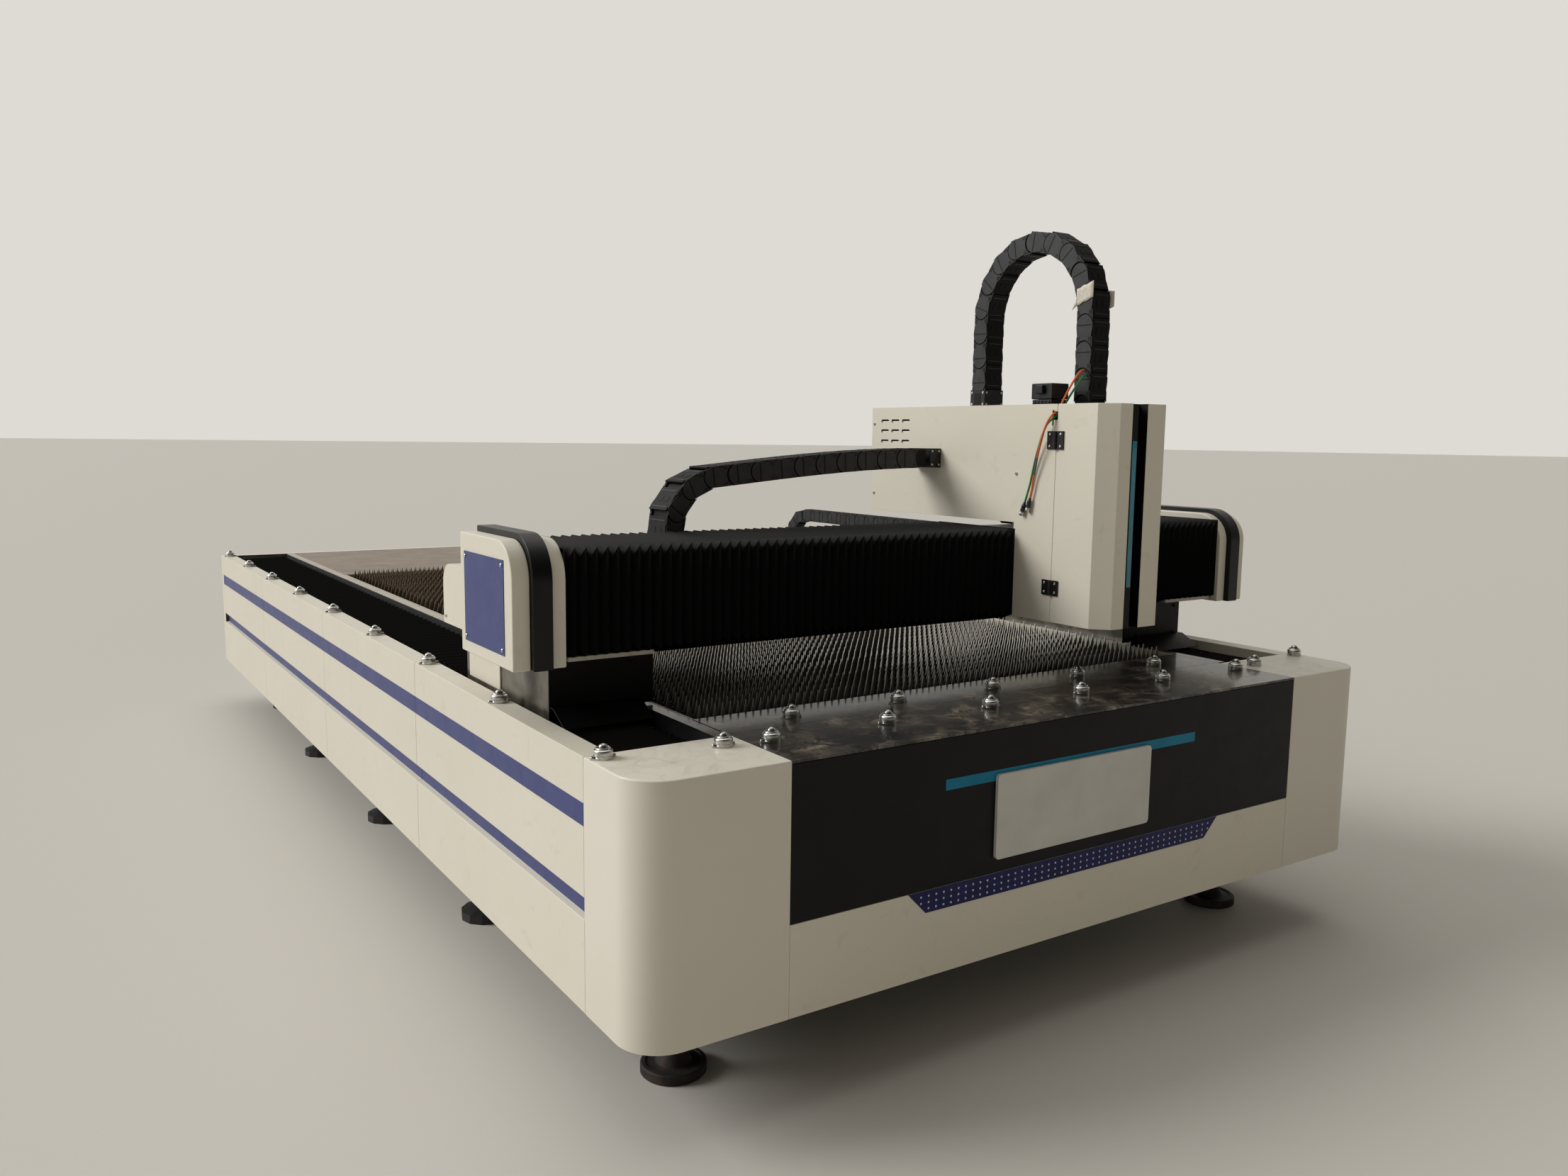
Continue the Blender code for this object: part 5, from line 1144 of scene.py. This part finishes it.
turned(shape, [(0.0140, 0.2000), (0.0125, 0.1880), (0.0100, 0.1780), (0.0030, 0.1650), (0.0012, 0.1650),
               (0.0012, 0.1700), (0.0, 0.1700)], HEAD_AXIS, steps=28, finish=2)
turned(shape, [(0.0, 0.4650), (0.0240, 0.4650), (0.0240, 0.4900), (0.0225, 0.4910), (0.0225, 0.5500),
               (0.0240, 0.5510), (0.0240, 0.6000), (0.0, 0.6000)], HEAD_AXIS, steps=32, finish=1)
piece("cutting_head", shape, [motor_paint, nickel, brass], "head", ["laser_head"], edge=0.0010,
      slot="black_paint")


# Cable chains. Links of glass-filled nylon, 70 mm apart, carry the cables. Each link has round-ended side
# plates that step inside the next pair, closed bars across both sides, and is held at its ends by black
# brackets.

# Glass-filled nylon is a dark grey with a faint grain, drawn 2.4 mm apart, and a dull shine. Its recesses,
# slots and the link's inside are painted near black as shade.
chain_nylon = mottled(
    "glass_filled_nylon", {"Scale": 30.0, "Detail": 6.0}, [(0.35, "#202123"), (0.75, "#303133")],
    {"Roughness": 0.42, "Specular IOR Level": 0.35}, {"Scale": 420.0, "Detail": 3.0}, (0.15, 0.0004))
recess_painted_shade_nylon = mottled("shaded_nylon_recess", {"Scale": 60.0, "Detail": 4.0},
                       [(0.3, "#070708"), (0.7, "#0D0D0E")], {"Roughness": 0.6, "Specular IOR Level": 0.2})
LINK_PITCH, LINK_HEIGHT = 0.070, 0.055
LIP = [(0.0300, 0.0265), (0.0300, 0.0200), (0.0470, 0.0200), (0.0490, 0.0236), (0.0580, 0.0270)]


def link_mesh(width):
    """One link along X, its pins at 0 and the pitch, its width along Y. Its far end curves round the next."""
    shape = bmesh.new()
    half = LINK_HEIGHT / 2
    disc = [(-math.cos(math.radians(t)) * half, math.sin(math.radians(t)) * half)
            for t in range(100, -101, -20)]
    waist = [(LINK_PITCH - math.cos(math.radians(t)) * 0.0312, math.sin(math.radians(t)) * 0.0312)
             for t in range(-48, 49, 16)]
    plate = disc + [(0.012, -0.0262), (0.030, -0.0238)] + waist + [(0.030, 0.0238), (0.012, 0.0262)]
    for side in (-1, 1):
        outer = side * width / 2
        slab(shape, [(x, outer, z) for x, z in plate], (0, -side * 0.0034, 0))
        for up in (1, -1):
            slab(shape, [(x, outer - side * 0.0010, up * z) for x, z in LIP], (0, -side * 0.0030, 0))
        near, far = sorted((outer + side * 0.0005, outer - side * 0.0010))
        # Finish 1 is the near-black nylon, painted shade in the pins, slots, recesses and the link's inside.
        block(shape, (-0.0014, near, -0.0240), (0.0014, far, 0.0240), 1)
        for z in (-0.0224, -0.0180, 0.0162, 0.0206):
            block(shape, (0.0310, near, z), (0.0420, far, z + 0.0018), 1)
        near, far = sorted((outer - side * 0.0034, outer - side * 0.0080))
        block(shape, (-0.0100, near, -0.0250), (0.0800, far, 0.0250), 1)
    for z in (-1, 1):
        low, high = sorted((z * half, z * (half - 0.004)))
        block(shape, (-0.0170, -width / 2 + 0.0034, low), (0.0510, width / 2 - 0.0034, high), 1)
        low, high = sorted((z * half, z * (half + 0.0008)))
        block(shape, (-0.0090, -width / 2 + 0.010, low), (-0.0060, width / 2 - 0.010, high))
        block(shape, (0.0400, -width / 2 + 0.010, low), (0.0430, width / 2 - 0.010, high))
        for y in (-0.16, 0.16):
            block(shape, (0.0080, (y - 0.1) * width, low), (0.0240, (y + 0.1) * width, high), 1)
    block(shape, (0.0, -width / 2 + 0.008, -0.0200), (LINK_PITCH, width / 2 - 0.008, 0.0200), 1)
    bmesh.ops.recalc_face_normals(shape, faces=shape.faces[:])
    mesh = bpy.data.meshes.new("link")
    shape.to_mesh(mesh)
    shape.free()
    return mesh


def along(stretches):
    """Points one link pitch apart on a route in a plane, from its start."""
    fine = [Vector(stretch(i / 200)) for stretch in stretches for i in range(201)]
    chosen = [fine[0]]
    walked = 0.0
    for before, after in zip(fine, fine[1:]):
        walked += (after - before).length
        if walked >= LINK_PITCH:
            chosen.append(after)
            walked -= LINK_PITCH
    return chosen


def straight(start, stop):
    return lambda t: (start[0] + (stop[0] - start[0]) * t, start[1] + (stop[1] - start[1]) * t)


def arc(centre, radius, first, last):
    return lambda t: (centre[0] + radius * math.cos(math.radians(first + (last - first) * t)),
                      centre[1] + radius * math.sin(math.radians(first + (last - first) * t)))


def chain_piece(name, points, mesh, axes, centre):
    """Links laid along points in a plane. axes are that plane's two axes and the chain's width axis."""
    a, b, wide = axes
    shape = bmesh.new()
    for here, after in zip(points, points[1:]):
        way = (after - here).normalized()
        stand = Matrix.Identity(4)
        forward, normal = Vector((0, 0, 0)), Vector((0, 0, 0))
        forward[a], forward[b] = way
        normal[a], normal[b] = -way.y, way.x
        sideways = normal.cross(forward)
        spot = Vector((0, 0, 0))
        spot[a], spot[b], spot[wide] = here.x, here.y, centre
        for i, column in enumerate((forward, sideways, normal)):
            for j in range(3):
                stand[j][i] = column[j]
        stand.translation = spot
        stamp(shape, mesh, stand)
    return piece(name, shape, [chain_nylon, recess_painted_shade_nylon], sharp=30, slot="chain_plastic")


X_LOOP, X_RADIUS = Vector((0.6345, 0.3835)), 0.14
Z_LOOP, Z_RADIUS = Vector((0.5595, 0.966)), 0.1995
x_link, y_link, z_link = link_mesh(0.100), link_mesh(0.0502), link_mesh(0.068)
x_route = along([straight((1.200, X_LOOP.y - X_RADIUS), (X_LOOP.x, X_LOOP.y - X_RADIUS)),
                 arc(X_LOOP, X_RADIUS, 270, 90),
                 lambda t: (X_LOOP.x + (1.3697 - X_LOOP.x) * t,
                            X_LOOP.y + X_RADIUS + 0.048 * math.sin(math.pi / 2 * t))])
y_route = along([straight((2.690, 0.0075), (2.8475, 0.0075)), arc((2.8475, 0.1325), 0.125, -90, 90),
                 straight((2.8475, 0.2575), (1.100, 0.2575))])
z_route = along([straight((0.759, 0.7203), (0.759, Z_LOOP.y)), arc(Z_LOOP, Z_RADIUS, 0, 180),
                 straight((0.360, Z_LOOP.y), (0.360, 0.660))])
# Each chain is laid in three parts: its lower run, its loop and its upper run.
for name, route, mesh, axes, centre, cuts, bodies, spans in [
    ("x_chain", x_route, x_link, (0, 2, 1), 0.835, (9, 15), ("gantry", "carriage"),
     (((1.200, 0, 0), (-0.120, 0, 0)), ((0, -50, 0), (0, 50, 0)), ((-0.0697, 0, 0), (1.3697, 0, 0)))),
    ("y_chain", y_route, y_link, (1, 2, 0), 2.3283, (3, 8), ("bed", "gantry"),
     (((0, 2.690, 0), (0, 3.170, 0)), ((-50, 0, 0), (50, 0, 0)), ((0, 4.595, 0), (0, 1.100, 0)))),
    ("z_chain", z_route, z_link, (1, 2, 0), 1.519, (4, 13), ("carriage", "head"),
     (((0, 0, 0.7203), (0, 0, 1.3397)), ((-50, 0, 0), (50, 0, 0)), ((0, 0, 1.240), (0, 0, 0.660)))),
]:
    stops = [0, *cuts, len(route) - 1]
    for i, part in enumerate(("lower", "loop", "upper")):
        made = chain_piece(f"{name}_{part}", route[stops[i]:stops[i + 1] + 1], mesh, axes, centre)
        start, end = (Vector(p) + BED_CORNER for p in spans[i])
        if part == "loop":
            start, end = Vector(spans[i][0]), Vector(spans[i][1])
        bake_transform(made)
        if part == "lower":
            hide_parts(name)
coat("y_chain_tray", white_coat)

shape = bmesh.new()
block(shape, (1.3300, 0.7830, 0.5440), (1.3694, 0.8870, 0.5990))
for x in (1.337, 1.362):
    for z in (0.5520, 0.5910):
        turned(shape, LEAF_SCREW, (x, 0.7830, z), (0, -1, 0), 12, 1)
        turned(shape, LEAF_SCREW, (x, 0.8870, z), (0, 1, 0), 12, 1)
block(shape, (1.4830, 0.7290, 0.7203), (1.5550, 0.7890, 0.7700))
# A patch on the bracket's left face in the near-black nylon: painted shade.
block(shape, (1.4822, 0.7460, 0.7270), (1.4832, 0.7720, 0.7600), 2)
for z in (0.7290, 0.7620):
    for y in (0.7360, 0.7820):
        turned(shape, LEAF_SCREW, (1.4830, y, z), (-1, 0, 0), 12, 1)
        turned(shape, LEAF_SCREW, (1.5550, y, z), (1, 0, 0), 12, 1)
    for x in (1.4900, 1.5480):
        turned(shape, LEAF_SCREW, (x, 0.7290, z), (0, -1, 0), 12, 1)
piece("chain_brackets", shape, [hinge_steel, zinc_plate, recess_painted_shade_nylon], "carriage", edge=0.0012,
      slot="chain_plastic")


# Tape. A strip of white paper tape is wrapped round the Z chain's front leg, and one end sticks out.

# Creped paper is matt and a warm white, with wrinkles about 9 mm apart.
paper_tape = mottled("white_paper_tape", {"Scale": 110.0, "Detail": 6.0}, [(0.3, "#BDB6A6"), (0.7, "#D6D0C2")],
                     {"Roughness": 0.7}, relief=(0.5, 0.0010))
shape = bmesh.new()
wrap = [((1.4828, 0.3318, 0.996), 0.042), ((1.4828, 0.3888, 0.977), 0.044), ((1.5552, 0.3888, 0.974), 0.044),
        ((1.5556, 0.3560, 0.978), 0.042), ((1.5640, 0.3440, 0.972), 0.046), ((1.5690, 0.3360, 0.980), 0.040)]
below = [shape.verts.new(spot) for spot, tall in wrap]
above = [shape.verts.new((spot[0], spot[1], spot[2] + tall)) for spot, tall in wrap]
for i in range(len(wrap) - 1):
    shape.faces.new((below[i], below[i + 1], above[i + 1], above[i]))
bmesh.ops.subdivide_edges(shape, edges=shape.edges[:], cuts=4, use_grid_fill=True)
for v in shape.verts:
    v.co.z += 0.0022 * math.sin(v.co.x * 310) + 0.0016 * math.sin(v.co.y * 330)
torn_end = ((1.4826, 0.3880, 1.000), (1.4820, 0.4020, 0.969), (1.4826, 0.3870, 0.979))
shape.faces.new([shape.verts.new(spot) for spot in torn_end])
tape = piece("paper_tape", shape, [paper_tape], inside=(1.519, 0.36, 0.99), wall=0.0006, sharp=60)
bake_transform(tape)
